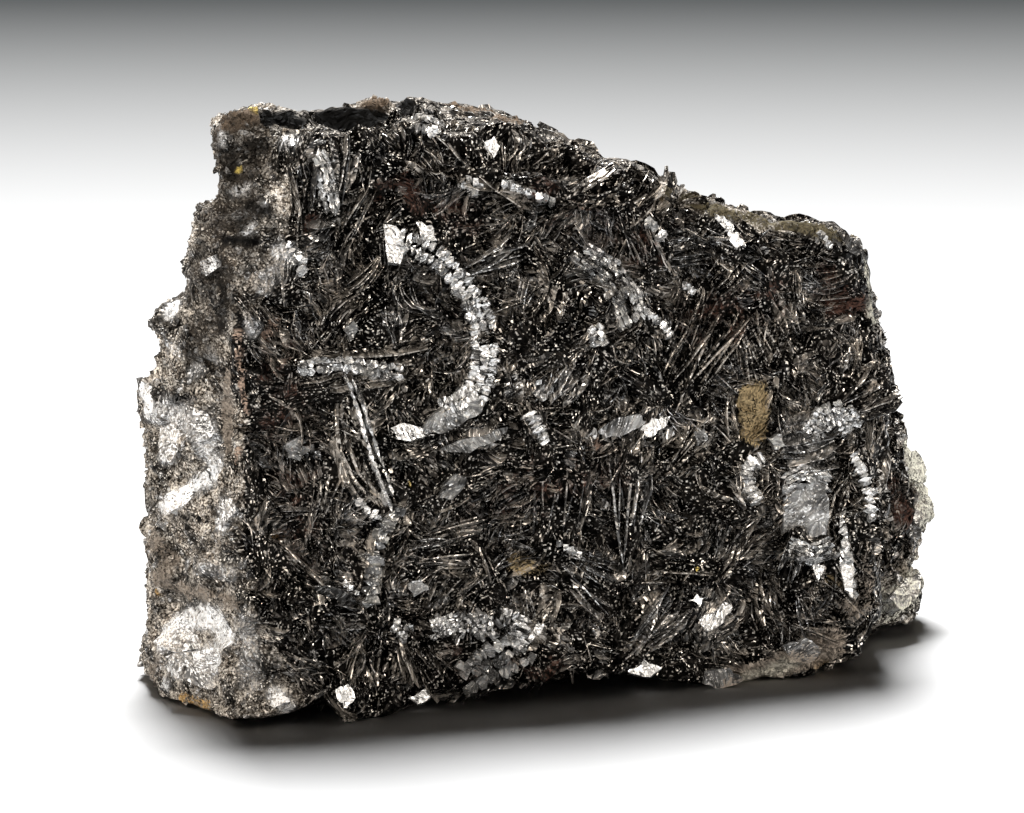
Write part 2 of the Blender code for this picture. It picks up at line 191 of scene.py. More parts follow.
# Sheaves that show best on the face: pixel of the middle, direction of the blades in degrees from
# level, length and width in pixels, how far the blades lean sideways in degrees, and their bend
FACE_SHEAVES = [
    ((330, 176), 88, 52, 28, 20, 0), ((298, 208), 86, 60, 10, 0, 0), ((357, 215), 62, 50, 16, -20, 0),
    ((250, 312), -62, 32, 14, 0, 0), ((350, 362), 6, 95, 28, 30, 0), ((362, 440), -72, 130, 30, -15, 1),
    ((316, 433), 8, 45, 25, 20, 0), ((352, 307), 38, 48, 24, 30, -1), ((287, 582), -48, 78, 36, -20, 0),
    ((275, 622), -14, 46, 14, 30, 0), ((388, 520), 50, 44, 16, 40, -1), ((372, 555), 80, 46, 18, 40, -1),
    ((368, 600), 95, 42, 18, 40, -1), ((309, 669), -33, 58, 24, 20, 0), ((347, 703), -50, 32, 16, 30, 0),
    ((516, 184), -14, 72, 16, 30, 0), ((425, 252), -30, 44, 26, 50, 1), ((457, 285), -52, 44, 28, 50, 1),
    ((478, 328), -78, 48, 28, 50, 1), ((480, 370), -100, 46, 26, 50, 1), ((495, 256), 22, 66, 16, 20, 0),
    ((548, 258), -60, 46, 24, -20, 0), ((592, 252), -22, 38, 28, 35, 1), ((616, 277), -55, 48, 34, 35, 1),
    ((631, 308), -70, 38, 30, 35, 1), ((600, 189), 15, 48, 20, 20, 0), ((641, 203), 32, 46, 22, 30, 0),
    ((647, 240), -66, 48, 28, 0, 0), ((413, 300), -50, 52, 18, 20, 1), ((408, 433), 10, 38, 22, 60, 0),
    ((457, 415), 25, 72, 28, 60, 1), ((535, 345), 27, 104, 50, 40, 1), ((535, 426), -60, 38, 18, 30, 0),
    ((632, 427), 5, 78, 28, 45, 1), ((459, 485), 35, 52, 30, 40, 0), ((630, 518), 90, 100, 16, 0, 0),
    ((453, 553), 0, 60, 40, -30, 0), ((485, 575), -65, 42, 18, 0, 0), ((535, 618), 70, 62, 32, 60, -1),
    ((457, 623), 14, 62, 30, 50, 0), ((426, 655), -57, 54, 28, 30, 0), ((492, 662), 35, 72, 38, 40, -1),
    ((541, 672), 60, 42, 22, 0, 0), ((590, 652), -72, 46, 28, 20, 0), ((628, 600), 28, 62, 16, 20, 0),
    ((655, 625), 44, 64, 24, 0, 0), ((730, 233), -48, 46, 32, 45, 0), ((686, 245), 8, 48, 28, 20, 0),
    ((726, 277), 50, 48, 28, 0, 0), ((826, 290), 6, 50, 50, 20, 0), ((653, 318), -35, 40, 18, 50, 1),
    ((867, 395), 28, 46, 28, 20, 0), ((750, 475), -80, 48, 20, 50, -1), ((857, 470), -70, 38, 18, 40, 1),
    ((804, 508), 88, 62, 50, 70, 0), ((845, 540), -82, 96, 18, 40, 1), ((771, 602), -85, 82, 28, 0, 1),
    ((697, 569), -13, 66, 16, 20, 0), ((712, 612), 40, 48, 38, 55, 0), ((815, 620), -8, 62, 22, 0, 0),
    ((700, 440), 46, 60, 36, 10, 0), ((560, 500), 80, 70, 40, 0, 0), ((700, 350), 60, 80, 50, -20, 0),
    ((760, 340), -70, 70, 44, 20, 0), ((800, 440), 10, 60, 40, 30, 0), ((330, 505), 70, 60, 40, 20, 0),
    ((590, 570), -30, 60, 36, 20, 0),
]

# Scaly bands on the face: the middle line in pixels, width across and length along of one scale in
# pixels, rows of scales, what the scales face, their unevenness in degrees, and their shine
SCALES = [
    (((398, 238), (420, 246), (442, 262), (458, 280), (470, 300)), 11, 5, 2, "key", 15, 0.8),
    (((472, 300), (479, 322), (482, 345), (480, 370), (471, 392), (457, 404)), 9, 5, 3, "key", 10, 1.0),
    (((438, 404), (456, 398), (470, 392)), 9, 5, 2, "key", 14, 0.8),
    (((574, 256), (598, 274), (614, 298), (622, 320)), 4, 10, 3, "key", 26, 0.3),
    (((586, 248), (610, 262), (630, 290), (638, 312)), 4, 9, 3, "key", 24, 0.5),
    (((640, 308), (655, 318), (667, 331)), 7, 5, 1, "key", 14, 0.9),
    (((528, 412), (535, 426), (542, 439)), 12, 4, 1, "key", 12, 0.9),
    (((532, 384), (545, 392)), 8, 5, 2, "key", 15, 0.8),
    (((416, 121), (436, 126)), 9, 6, 2, "key", 14, 0.9),
    (((464, 180), (474, 186)), 8, 6, 2, "key", 14, 0.8),
    (((500, 182), (524, 190), (548, 198)), 8, 6, 1, "key", 15, 0.7),
    (((645, 218), (656, 232)), 10, 6, 1, "key", 15, 0.6),
    (((680, 282), (690, 290)), 8, 5, 1, "key", 12, 0.9),
    (((808, 432), (824, 412), (838, 410), (848, 424)), 6, 4, 4, "key", 24, 0.8),
    (((756, 455), (746, 462), (743, 474), (746, 486), (753, 497)), 13, 5, 1, "key", 11, 1.0),
    (((848, 452), (858, 468), (865, 486), (867, 513)), 11, 5, 1, "key", 12, 0.9),
    (((786, 478), (800, 470), (820, 478)), 4, 10, 4, "key", 22, 0.6),
    (((790, 546), (806, 552), (822, 546)), 4, 12, 5, "key", 20, 0.7),
    (((838, 520), (844, 556), (850, 592)), 9, 11, 1, "key", 10, 1.0),
    (((512, 642), (516, 630), (522, 618)), 16, 6, 1, "key", 18, 0.8),
    (((464, 674), (480, 666), (500, 656), (522, 646)), 12, 9, 3, "square", 22, 0.3),
    (((430, 626), (450, 620), (472, 620), (490, 624)), 5, 4, 4, "key", 32, 0.7),
    (((500, 612), (510, 618)), 8, 6, 2, "key", 16, 0.9), (((392, 622), (404, 630)), 8, 6, 2, "key", 14, 0.8),
    (((398, 508), (386, 520), (377, 536), (371, 560), (368, 580), (366, 602)), 15, 9, 1, "square", 18, 0.25),
    (((556, 542), (574, 552)), 7, 6, 1, "key", 10, 1.0),
    (((300, 366), (320, 362), (345, 362), (372, 366), (396, 370)), 8, 9, 2, "key", 24, 0.6),
    (((344, 378), (352, 400), (362, 434), (374, 470), (386, 502)), 4, 11, 1, "key", 14, 0.8),
    (((352, 384), (364, 416), (374, 448), (388, 486)), 3, 12, 1, "key", 16, 0.6),
    (((356, 500), (374, 514)), 8, 6, 1, "key", 12, 0.9), (((344, 582), (352, 590)), 7, 6, 1, "key", 12, 0.9),
    (((283, 246), (298, 262)), 8, 6, 2, "left", 16, 0.9),
    (((316, 152), (322, 176), (328, 204)), 6, 9, 3, "key", 22, 0.5),
    (((818, 234), (828, 244)), 7, 6, 1, "key", 14, 0.8), (((592, 326), (596, 342)), 8, 6, 2, "key", 14, 0.9),
]

# Broad cleavage plates: outline in pixels, what they face, shine
PLATES = [
    (((782, 486), (792, 483), (826, 484), (829, 508), (826, 535), (812, 537), (800, 532), (783, 534)),
     "square", 0.34),
    (((420, 434), (434, 414), (458, 402), (490, 399), (482, 412), (462, 424), (440, 434)), "square", 0.3),
    (((391, 428), (404, 423), (420, 427), (426, 436), (412, 441), (396, 439)), "key", 0.8),
    (((598, 432), (612, 420), (640, 414), (646, 422), (626, 434), (606, 438)), "square", 0.34),
    (((640, 430), (652, 418), (671, 416), (664, 428), (650, 437)), "key", 0.9),
    (((812, 562), (825, 566), (818, 581)), "key", 1.0),
    (((694, 612), (712, 597), (732, 606), (724, 622), (706, 631)), "key", 0.6),
    (((690, 600), (697, 594), (706, 597), (700, 607)), "key", 1.0),
    (((528, 630), (530, 607), (543, 595), (547, 610), (540, 634), (530, 643)), "key", 1.0),
    (((783, 646), (806, 638), (822, 648), (812, 662), (790, 663)), "square", 0.35),
    (((706, 672), (730, 668), (744, 680), (722, 690), (704, 684)), "square", 0.3),
    (((286, 444), (300, 436), (311, 448), (300, 461), (288, 458)), "square", 0.28),
    (((408, 584), (422, 578), (429, 590), (414, 597)), "square", 0.28),
    (((440, 449), (470, 438), (508, 427), (500, 439), (470, 453)), "square", 0.2),
    (((383, 224), (396, 226), (404, 240), (400, 264), (388, 262)), "key", 0.9),
    (((416, 222), (432, 225), (437, 240), (420, 239)), "key", 0.9),
    (((484, 142), (494, 136), (500, 146), (492, 160), (483, 158)), "key", 1.0),
    (((714, 217), (724, 214), (734, 226), (730, 232)), "key", 0.9),
    (((724, 228), (738, 232), (746, 246), (736, 248)), "key", 0.9),
    (((836, 516), (843, 519), (852, 558), (853, 598), (845, 590), (840, 555)), "key", 1.0),
    (((840, 232), (860, 238), (867, 256), (850, 252)), "square", 0.16),
    (((152, 642), (186, 611), (214, 616), (230, 640), (200, 648), (172, 652)), "left", 0.46),
    (((162, 657), (200, 651), (233, 645), (239, 668), (212, 690), (182, 678)), "left", 0.37),
    (((166, 494), (185, 486), (217, 464), (213, 482), (186, 504), (170, 512)), "left", 0.85),
    (((218, 496), (236, 498), (234, 514), (222, 526)), "left", 0.5),
    (((903, 450), (916, 450), (927, 470), (922, 486), (908, 478)), "right", 0.3),
    (((908, 482), (924, 484), (932, 500), (930, 516), (916, 524), (906, 508)), "right", 0.3),
    (((890, 598), (906, 578), (921, 572), (918, 596), (902, 610)), "right", 0.5),
    (((200, 262), (212, 257), (217, 268), (206, 276)), "left", 1.0),
    (((141, 388), (152, 386), (152, 412), (145, 414)), "left", 1.0),
    (((335, 690), (348, 684), (355, 698), (347, 708), (340, 702)), "key", 0.9),
    (((408, 698), (424, 689), (434, 694), (418, 704)), "key", 0.7),
    (((266, 698), (282, 692), (290, 702), (274, 708)), "left", 0.8),
    (((624, 662), (644, 659), (662, 668), (650, 677), (630, 673)), "key", 0.85),
    (((184, 404), (204, 410), (216, 432), (204, 440), (190, 424)), "left", 0.35),
    (((160, 428), (176, 422), (184, 440), (170, 462), (160, 452)), "left", 0.55),
    (((444, 484), (458, 474), (468, 480), (452, 500), (440, 498)), "square", 0.24),
    (((694, 432), (704, 428), (708, 440), (698, 446)), "square", 0.3),
    (((344, 330), (352, 318), (358, 330), (350, 342)), "square", 0.2),
    (((768, 438), (782, 434), (786, 446), (774, 450)), "square", 0.2),
]

# The granular left end: the line in the picture, from the top down, that it lies to the left of
GRAIN_EDGE = [(0, 296), (130, 290), (270, 284), (300, 262), (340, 236), (450, 235), (535, 243), (600, 256),
              (640, 268), (700, 298), (813, 320)]
GRAIN_EDGE_SOFTNESS = 22
GRAIN_WANDER_SIZE = 6 * MM
GRAIN_WANDER_FRONT = 14
GRAIN_WANDER_BEHIND = 130
GRAIN_BEHIND = 14 * MM

# Silvery patches of the granular end: the middle line in pixels, radius in pixels, strength
SILVERS = [
    (((143, 388), (146, 412)), 7, 1.0), (((156, 420), (172, 408), (205, 432), (214, 470)), 15, 0.65),
    (((168, 455), (176, 440)), 10, 0.9), (((166, 506), (180, 496), (214, 474)), 9, 1.0),
    (((228, 508), (224, 524)), 10, 0.8), (((188, 566), (230, 574)), 8, 0.45),
    (((168, 640), (186, 618), (212, 616), (230, 640)), 14, 0.9), (((180, 662), (216, 660)), 18, 0.75),
    (((165, 683),), 8, 0.8), (((244, 622), (250, 680)), 12, 0.4), (((276, 694), (286, 708)), 9, 0.8),
    (((208, 266),), 9, 1.0), (((283, 252), (294, 260)), 10, 0.9), (((169, 313), (174, 306)), 7, 1.0),
    (((236, 191), (246, 187)), 6, 0.9), (((222, 126), (221, 142)), 5, 0.8), (((289, 142),), 9, 0.8),
    (((255, 330), (250, 322)), 8, 0.6), (((262, 285), (276, 272)), 9, 0.45),
    (((196, 372), (210, 356)), 8, 0.5),
    (((160, 340), (180, 352)), 7, 0.5), (((246, 232), (252, 226)), 6, 0.7),
    (((238, 215), (262, 205)), 6, 0.35),
]

TINTS = {
    "rust": (0.055, 0.029, 0.022),
    "clay": (0.3, 0.225, 0.18),
    "gold": (0.27, 0.21, 0.12),
    "yellow": (0.55, 0.43, 0.12),
    "ochre": (0.33, 0.22, 0.1),
    "moss": (0.09, 0.078, 0.05),
    "brown": (0.13, 0.1, 0.075),
    "umber": (0.2, 0.175, 0.15),
    "soot": (0.03, 0.026, 0.022),
    "lump": (0.42, 0.42, 0.37),
    # Painted shade for the hollows and pits
    "hollow_shade": (0.004, 0.004, 0.004),
}

# Stains and growths, and painted shade in the hollows and pits: the middle line in pixels, radius in
# millimetres, tint, strength
STAINS_AND_SHADE = [
    (((238, 140), (230, 190), (220, 240)), 4.4, "soot", 0.42), (((212, 290), (196, 345)), 4.0, "soot", 0.4),
    (((753, 398), (752, 428)), 2.0, "gold", 0.7),
    (((514, 562), (538, 566)), 1.3, "gold", 0.6), (((828, 578), (834, 584)), 0.6, "gold", 0.8),
    (((239, 170),), 0.38, "yellow", 0.9), (((252, 108), (256, 109)), 0.5, "yellow", 0.8),
    (((697, 569),), 0.4, "yellow", 0.6), (((410, 484),), 0.5, "yellow", 0.4),
    (((272, 539),), 0.8, "ochre", 0.7), (((158, 590),), 0.8, "ochre", 0.6),
    (((184, 697), (208, 705)), 0.8, "ochre", 0.5), (((309, 223), (325, 232)), 1.4, "rust", 0.45),
    (((275, 323), (268, 332)), 0.9, "clay", 0.45), (((594, 446),), 0.7, "clay", 0.8),
    (((391, 187), (467, 221)), 2.8, "rust", 0.32), (((738, 335),), 1.0, "clay", 0.35),
    (((824, 270), (827, 290), (862, 300)), 1.9, "rust", 0.36), (((822, 310), (864, 312)), 1.4, "rust", 0.36),
    (((885, 490), (908, 525)), 2.1, "rust", 0.46), (((228, 374), (227, 410), (229, 450)), 0.8, "umber", 0.8),
    (((237, 336), (242, 380)), 0.7, "clay", 0.4), (((241, 387), (247, 410)), 0.6, "clay", 0.45),
    (((239, 450), (236, 462)), 0.5, "clay", 0.5), (((844, 659), (818, 664)), 0.9, "ochre", 0.4),
    (((690, 320), (770, 300)), 3.2, "rust", 0.3), (((540, 200), (640, 250)), 3.6, "rust", 0.27),
    (((280, 360), (300, 560)), 3.4, "rust", 0.25), (((450, 660), (560, 670)), 2.6, "rust", 0.25),
    (((480, 500), (600, 470)), 3.6, "rust", 0.25),
    (((664, 188), (706, 208), (770, 223), (812, 228), (852, 240)), 1.1, "moss", 0.6),
    # Painted shade in the two open hollows of the top edge
    (((262, 119), (300, 119)), 1.3, "hollow_shade", 1.0), (((324, 117), (376, 117)), 1.5, "hollow_shade", 1.0),
    (((224, 122), (250, 114)), 1.2, "brown", 0.45),
    (((310, 106), (345, 103), (384, 100)), 1.0, "brown", 0.7),
    (((440, 108), (480, 112), (516, 122)), 1.2, "brown", 0.6),
    (((866, 262), (870, 300), (874, 326)), 0.8, "lump", 0.5),
    (((858, 570), (862, 604), (826, 628)), 2.2, "umber", 0.4),
    (((718, 684), (760, 673), (800, 657), (832, 647)), 1.9, "umber", 0.75),
    (((744, 680), (780, 668), (806, 650)), 1.0, "lump", 0.5),
    (((908, 452), (922, 480), (928, 514)), 3.0, "lump", 0.6),
    (((926, 534), (922, 570), (914, 594), (892, 606)), 3.0, "lump", 0.42),
    (((152, 540), (170, 560), (160, 580)), 1.5, "umber", 0.5),
    (((176, 588), (210, 594), (240, 604)), 1.2, "umber", 0.55),
    (((196, 673),), 0.9, "umber", 0.5), (((156, 660), (152, 676)), 1.0, "umber", 0.5),
    # Painted shade in the pits of the granular end and in a pit of the top
    (((226, 240), (255, 241)), 0.6, "hollow_shade", 0.9), (((180, 516), (206, 520)), 0.6, "hollow_shade", 0.6),
    (((224, 288), (222, 326)), 0.8, "hollow_shade", 0.5), (((240, 300), (240, 326)), 0.6, "hollow_shade", 0.6),
    (((176, 400), (194, 396)), 0.9, "hollow_shade", 0.45), (((232, 160), (232, 176)), 0.7, "hollow_shade", 0.45),
    (((250, 206), (268, 212)), 0.8, "hollow_shade", 0.6), (((180, 608), (204, 604)), 0.5, "hollow_shade", 0.6),
    (((154, 470), (150, 500)), 0.7, "hollow_shade", 0.4), (((200, 540), (222, 546)), 0.8, "hollow_shade", 0.4),
    (((405, 106), (409, 110)), 1.0, "hollow_shade", 1.0),
]

# Bare stone that no blade grows on: the middle line in pixels, radius in millimetres
BARE = [
    (((664, 186), (706, 206), (770, 221), (812, 226), (852, 238)), 1.6),
    (((906, 446), (922, 480), (928, 516), (922, 560), (912, 598), (890, 606)), 3.6),
    (((718, 686), (760, 675), (800, 660), (832, 650)), 1.5),
    (((224, 116), (262, 110)), 1.6), (((310, 106), (345, 104), (384, 101)), 1.6),
    (((440, 108), (480, 112), (516, 122)), 1.0),
]

# Open hollows that no blade grows over: pixel of the middle and radius in millimetres
HOLLOWS = [((281, 119), 3.2), ((350, 118), 4.6), ((455, 635), 1.4)]

# Softboxes: place, width, height, power in watts and colour. The brightest scales face the key light
WARM = (1.0, 0.915, 0.82)
LIGHTS = {
    "left": (Vector((-0.75, -0.35, 0.45)), 0.5, 0.7, 9.5, WARM),
    "right": (Vector((0.8, -0.3, 0.35)), 0.35, 0.7, 7.0, WARM),
    "key": (Vector((-0.34, -1.05, 0.55)), 0.34, 0.34, 3.5, WARM),
    "front": (Vector((-0.1, -1.5, 0.6)), 1.8, 1.4, 1.85, WARM),
    "back": (Vector((0.2, 1.0, 0.6)), 0.7, 0.7, 8.0, WARM),
    "top": (Vector((0.055, 0.275, 0.96)), 0.28, 0.4, 18.3, (1.0, 1.0, 1.0)),
}


def eye_axes():
    """Right, up and back of the eye that looks at the face."""
    sin_a, cos_a = math.sin(EYE_AZIMUTH), math.cos(EYE_AZIMUTH)
    sin_e, cos_e = math.sin(EYE_ELEVATION), math.cos(EYE_ELEVATION)
    right = Vector((cos_a, sin_a, 0))
    up = Vector((-sin_a * sin_e, cos_a * sin_e, cos_e))
    back = Vector((sin_a * cos_e, -cos_a * cos_e, sin_e))
    return right, up, back


RIGHT, UP, BACK = eye_axes()
EYE = AIM_POINT + BACK * EYE_DISTANCE

# Straight out of the face, and the way that the dull cleavage plates face
FRONT = Vector((0, -1, 0))
SQUARE = Vector((-0.1, -1, 0.12)).normalized()


def sight(pixel):
    """The direction from the eye through a pixel of the photograph."""
    across = (pixel[0] - AIM_PIXEL[0]) * PICTURE_STEP
    down = (pixel[1] - AIM_PIXEL[1]) * PICTURE_STEP
    return (AIM_POINT + RIGHT * across - UP * down - EYE).normalized()


def pixels_of(points):
    """The pixels of the photograph that show many points."""
    rays = points - np.array(EYE)
    scale = EYE_DISTANCE / -(rays @ np.array(BACK)) / PICTURE_STEP
    x = AIM_PIXEL[0] + rays @ np.array(RIGHT) * scale
    y = AIM_PIXEL[1] - rays @ np.array(UP) * scale
    return x, y


def on_ground(surface, pixel):
    """The point of the ground that a pixel shows, and the normal there, or nothing off the specimen."""
    place, normal, _, _ = surface.ray_cast(EYE, sight(pixel))
    return (place, normal) if place else None


def along_line(points, spacing):
    """Places along a line of pixels, no further apart than the spacing, each with its direction."""
    if len(points) == 1:
        return [(points[0], (1.0, 0.0))]
    places = []
    for a, b in zip(points, points[1:]):
        gap = math.dist(a, b)
        way = ((b[0] - a[0]) / gap, (b[1] - a[1]) / gap)
        steps = max(1, math.ceil(gap / spacing))
        places += [((a[0] + (b[0] - a[0]) * i / steps, a[1] + (b[1] - a[1]) * i / steps), way)
                   for i in range(steps + 1)]
    return places


def new_object(name, mesh):
    obj = bpy.data.objects.new(name, mesh)
    bpy.context.scene.collection.objects.link(obj)
    return obj


def plain_mesh(obj):
    """Turns the evaluated object into a mesh of its own with no modifiers."""
    graph = bpy.context.evaluated_depsgraph_get()
    mesh = bpy.data.meshes.new_from_object(obj.evaluated_get(graph))
    obj.modifiers.clear()
    obj.data = mesh


# Materials

def tree_of(material):
    material.use_nodes = True
    tree = material.node_tree
    tree.nodes.clear()
    return tree


def fill(tree, node, values):
    """Gives a node's inputs their values; a value that is a socket is linked."""
    for key, value in values.items():
        if isinstance(value, bpy.types.NodeSocket):
            tree.links.new(value, node.inputs[key])
        else:
            node.inputs[key].default_value = value
    return node


def add(tree, kind, values=None, **settings):
    """A new node with its settings and its inputs' values."""
    node = tree.nodes.new(kind)
    for key, value in settings.items():
        setattr(node, key, value)
    return fill(tree, node, values or {})


def new_group(name, kind, inputs, outputs):
    """An empty node group with named sockets, each given as its name and kind."""
    group = bpy.data.node_groups.new(name, kind)
    for in_out, sockets in (("INPUT", inputs), ("OUTPUT", outputs)):
        for socket, what in sockets.items():
            group.interface.new_socket(socket, in_out=in_out, socket_type=f"NodeSocket{what}")
    return group


def maths(tree, operation, a, b):
    return add(tree, "ShaderNodeMath", {0: a, 1: b}, operation=operation).outputs[0]


def sum_of(tree, a, b):
    return maths(tree, "ADD", a, b)


def product(tree, a, b):
    return maths(tree, "MULTIPLY", a, b)


def vector(tree, operation, a, b=None):
    """One step of vector maths: a is scaled by a number or combined with another vector."""
    values = {0: a}
    if b is not None:
        values["Scale" if operation == "SCALE" else 1] = b
    return add(tree, "ShaderNodeVectorMath", values, operation=operation).outputs[0]


def noise_at(tree, point, scale, detail, output="Fac"):
    values = {"Vector": point, "Scale": scale, "Detail": detail}
    return add(tree, "ShaderNodeTexNoise", values).outputs[output]


def ramp(tree, value, low, high, out_low=0.0, out_high=1.0):
    """Carries a value from one range to another and stops at its ends."""
    inputs = {"Value": value, "From Min": low, "From Max": high, "To Min": out_low, "To Max": out_high}
    return add(tree, "ShaderNodeMapRange", inputs).outputs[0]


def mixed(tree, factor, a, b):
    """From colour a to colour b."""
    return add(tree, "ShaderNodeMix", {0: factor, 6: a, 7: b}, data_type="RGBA").outputs[2]


def grain_values(tree, point, size):
    """A random value for each small grain of stone or crystal."""
    cell = vector(tree, "SNAP", point, (size, size, size))
    return add(tree, "ShaderNodeTexWhiteNoise", {"Vector": cell}, noise_dimensions="3D").outputs["Value"]


def facet_group():
    """Bladed cleavage: each patch of crystal has blades running their own way, turned facets and painted
    glints.
    """
    sizes = ("Patch size", "Blade length", "Blade width", "Tilt")
    values = ("Facet", "Flicker", "Painted glint")
    group = new_group("bladed_facets", "ShaderNodeTree",
                      {"Point": "Vector", **dict.fromkeys(sizes, "Float")},
                      {"Normal": "Vector", **dict.fromkeys(values, "Float")})
    inputs = add(group, "NodeGroupInput").outputs
    point = vector(group, "SCALE", inputs["Point"], 1 / MM)
    waves = noise_at(group, point, scale=0.3, detail=1.0, output="Color")
    bent = vector(group, "ADD", point, vector(group, "SCALE", waves, 2.2))
    patch = add(group, "ShaderNodeTexVoronoi",
                {"Vector": bent, "Scale": maths(group, "DIVIDE", 1.0, inputs["Patch size"])})
    way = vector(group, "SCALE", patch.outputs["Color"], math.tau)
    turned = add(group, "ShaderNodeVectorRotate", {"Vector": bent, "Rotation": way},
                 rotation_type="EULER_XYZ")
    narrow = maths(group, "DIVIDE", 1.0, inputs["Blade width"])
    stretch = add(group, "ShaderNodeCombineXYZ", {
        0: maths(group, "DIVIDE", 1.0, inputs["Blade length"]), 1: narrow, 2: product(group, narrow, 0.4),
    })
    raster = vector(group, "MULTIPLY", turned.outputs[0], stretch.outputs[0])
    blades = add(group, "ShaderNodeTexVoronoi", {"Vector": raster, "Scale": 1.0})
    turn = vector(group, "SUBTRACT", blades.outputs["Color"], (0.5, 0.5, 0.5))
    own = add(group, "ShaderNodeNewGeometry").outputs["Normal"]
    whole = vector(group, "ADD", own, vector(group, "SCALE", turn, inputs["Tilt"]))
    whole = vector(group, "NORMALIZE", whole)
    shade = add(group, "ShaderNodeSeparateColor", {"Color": blades.outputs["Color"]}).outputs["Red"]
    chips = grain_values(group, bent, CHIP_SIZE)
    # Painted glints: the brightest chips are painted as light specks
    painted_glint = ramp(group, sum_of(group, chips, product(group, shade, 0.25)), 0.98, 1.14)
    flicker = sum_of(group, product(group, chips, 0.55), product(group, shade, 0.45))
    add(group, "NodeGroupOutput", {"Normal": whole, "Facet": shade, "Flicker": flicker, "Painted glint": painted_glint})
    return group


def crust_group():
    """Dull grainy stone: its colour, from dark brown to grey, and how high its grains stand."""
    group = new_group("grainy_crust", "ShaderNodeTree", {"Point": "Vector"},
                      {"Color": "Color", "Height": "Float"})
    point = add(group, "NodeGroupInput").outputs["Point"]
    broad = noise_at(group, point, scale=380.0, detail=4.0)
    turned = add(group, "ShaderNodeVectorRotate", {"Vector": point, "Rotation": CRUST_TURN},
                 rotation_type="EULER_XYZ")
    grains = grain_values(group, turned.outputs[0], CRUST_GRAIN)
    both = sum_of(group, product(group, broad, 0.66), product(group, grains, 0.34))
    colour = add(group, "ShaderNodeValToRGB", {"Fac": both})
    stops = colour.color_ramp.elements
    stops[0].position, stops[0].color = 0.36, CRUST_DARK
    stops[1].position, stops[1].color = 0.68, CRUST_PALE
    stops.new(0.5).color = CRUST_BROWN
    large = noise_at(group, point, scale=150.0, detail=3.0)
    shade = ramp(group, large, 0.38, 0.62, 0.25, 1.15)
    whole = vector(group, "SCALE", colour.outputs["Color"], shade)
    add(group, "NodeGroupOutput", {"Color": whole, "Height": both})
    return group


def use(tree, group, values):
    """Places a node group with its own values."""
    node = tree.nodes.new("ShaderNodeGroup")
    node.node_tree = group
    return fill(tree, node, values).outputs


def marks(tree):
    """What each point of a mesh is marked with: its blade's shade, how silvery, how crusted, and the tint of
    its stain and painted shade.
    """
    names = ("blade", "silver", "crust")
    found = {name: add(tree, "ShaderNodeAttribute", attribute_name=name).outputs["Fac"] for name in names}
    tint = add(tree, "ShaderNodeAttribute", attribute_name="tint").outputs
    return {**found, "tint": tint["Color"], "stain_and_shade": tint["Alpha"]}


def crystal_material(name, facets, crust, dark, light, sizes, rough, grainy):
    """Iron-black crystal: facets that flash, painted glints, painted shade between clumps, silvery where
    marked, dull stone where crust, stain or painted shade lies.
    """
    material = bpy.data.materials.new(name)
    tree = tree_of(material)
    place = add(tree, "ShaderNodeTexCoord").outputs["Object"]
    cell = use(tree, facets, {"Point": place, **sizes})
    stone = use(tree, crust, {"Point": place})
    mark = marks(tree)
    patches = noise_at(tree, place, scale=420.0, detail=4.0)
    fleck = sum_of(tree, product(tree, patches, 0.6), product(tree, cell["Flicker"], 0.35))

    # Facets from dark to light, stone where it is dull, painted shade between the clumps, and painted glints
    bright = ramp(tree, sum_of(tree, cell["Facet"], mark["blade"]), 0.8, 1.75)
    base = mixed(tree, bright, dark, light)
    dull = ramp(tree, sum_of(tree, mark["crust"], fleck), 0.92, 1.04)
    base = mixed(tree, dull, base, stone["Color"])
    # Painted shade: the colour is darkened in patches, as shade between the clumps
    clump_gap_shade = ramp(tree, patches, 0.37, 0.6, 0.12, 1.3)
    base = vector(tree, "SCALE", base, clump_gap_shade)
    # Painted glints, mixed into the colour
    base = mixed(tree, cell["Painted glint"], base, PAINTED_GLINT_COLOUR)

    # Silvery cleavage: a soft sheen over all of it and crisp chips in it
    facet_light = ramp(tree, sum_of(tree, patches, cell["Facet"]), 0.35, 1.25, 0.0, 0.6)
    soft = product(tree, mark["silver"], facet_light)
    crisp = ramp(tree, sum_of(tree, product(tree, mark["silver"], 0.8), cell["Flicker"]), 0.98, 1.1)
    shine = maths(tree, "MAXIMUM", soft, crisp)
    base = mixed(tree, shine, base, SILVER_COLOUR)

    # Stains and painted shade, broken up by the flecks
    stain_and_shade = ramp(tree, sum_of(tree, mark["stain_and_shade"], product(tree, fleck, 1.7)), 1.15, 1.4)
    colour = vector(tree, "SCALE", mark["tint"], ramp(tree, cell["Flicker"], 0.2, 0.8, 0.5, 1.5))
    base = mixed(tree, stain_and_shade, base, colour)

    matt = maths(tree, "MAXIMUM", dull, stain_and_shade)
    normal = cell["Normal"]
    if grainy:
        normal = add(tree, "ShaderNodeBump", {
            "Strength": 0.6, "Distance": BUMP_HEIGHT, "Height": stone["Height"], "Normal": normal,
        }).outputs[0]
    smooth = ramp(tree, patches, 0.35, 0.65, rough, rough + 0.18)
    shader = add(tree, "ShaderNodeBsdfPrincipled", {
        "Base Color": base,
        "Metallic": ramp(tree, maths(tree, "SUBTRACT", matt, shine), 0.0, 0.8, 0.7, 0.05),
        "Roughness": sum_of(tree, smooth, product(tree, matt, 0.35)),
        "Specular IOR Level": SPECULAR,
        "Normal": normal,
    })
    output = add(tree, "ShaderNodeOutputMaterial")
    tree.links.new(shader.outputs[0], output.inputs["Surface"])
    return material


# The ground

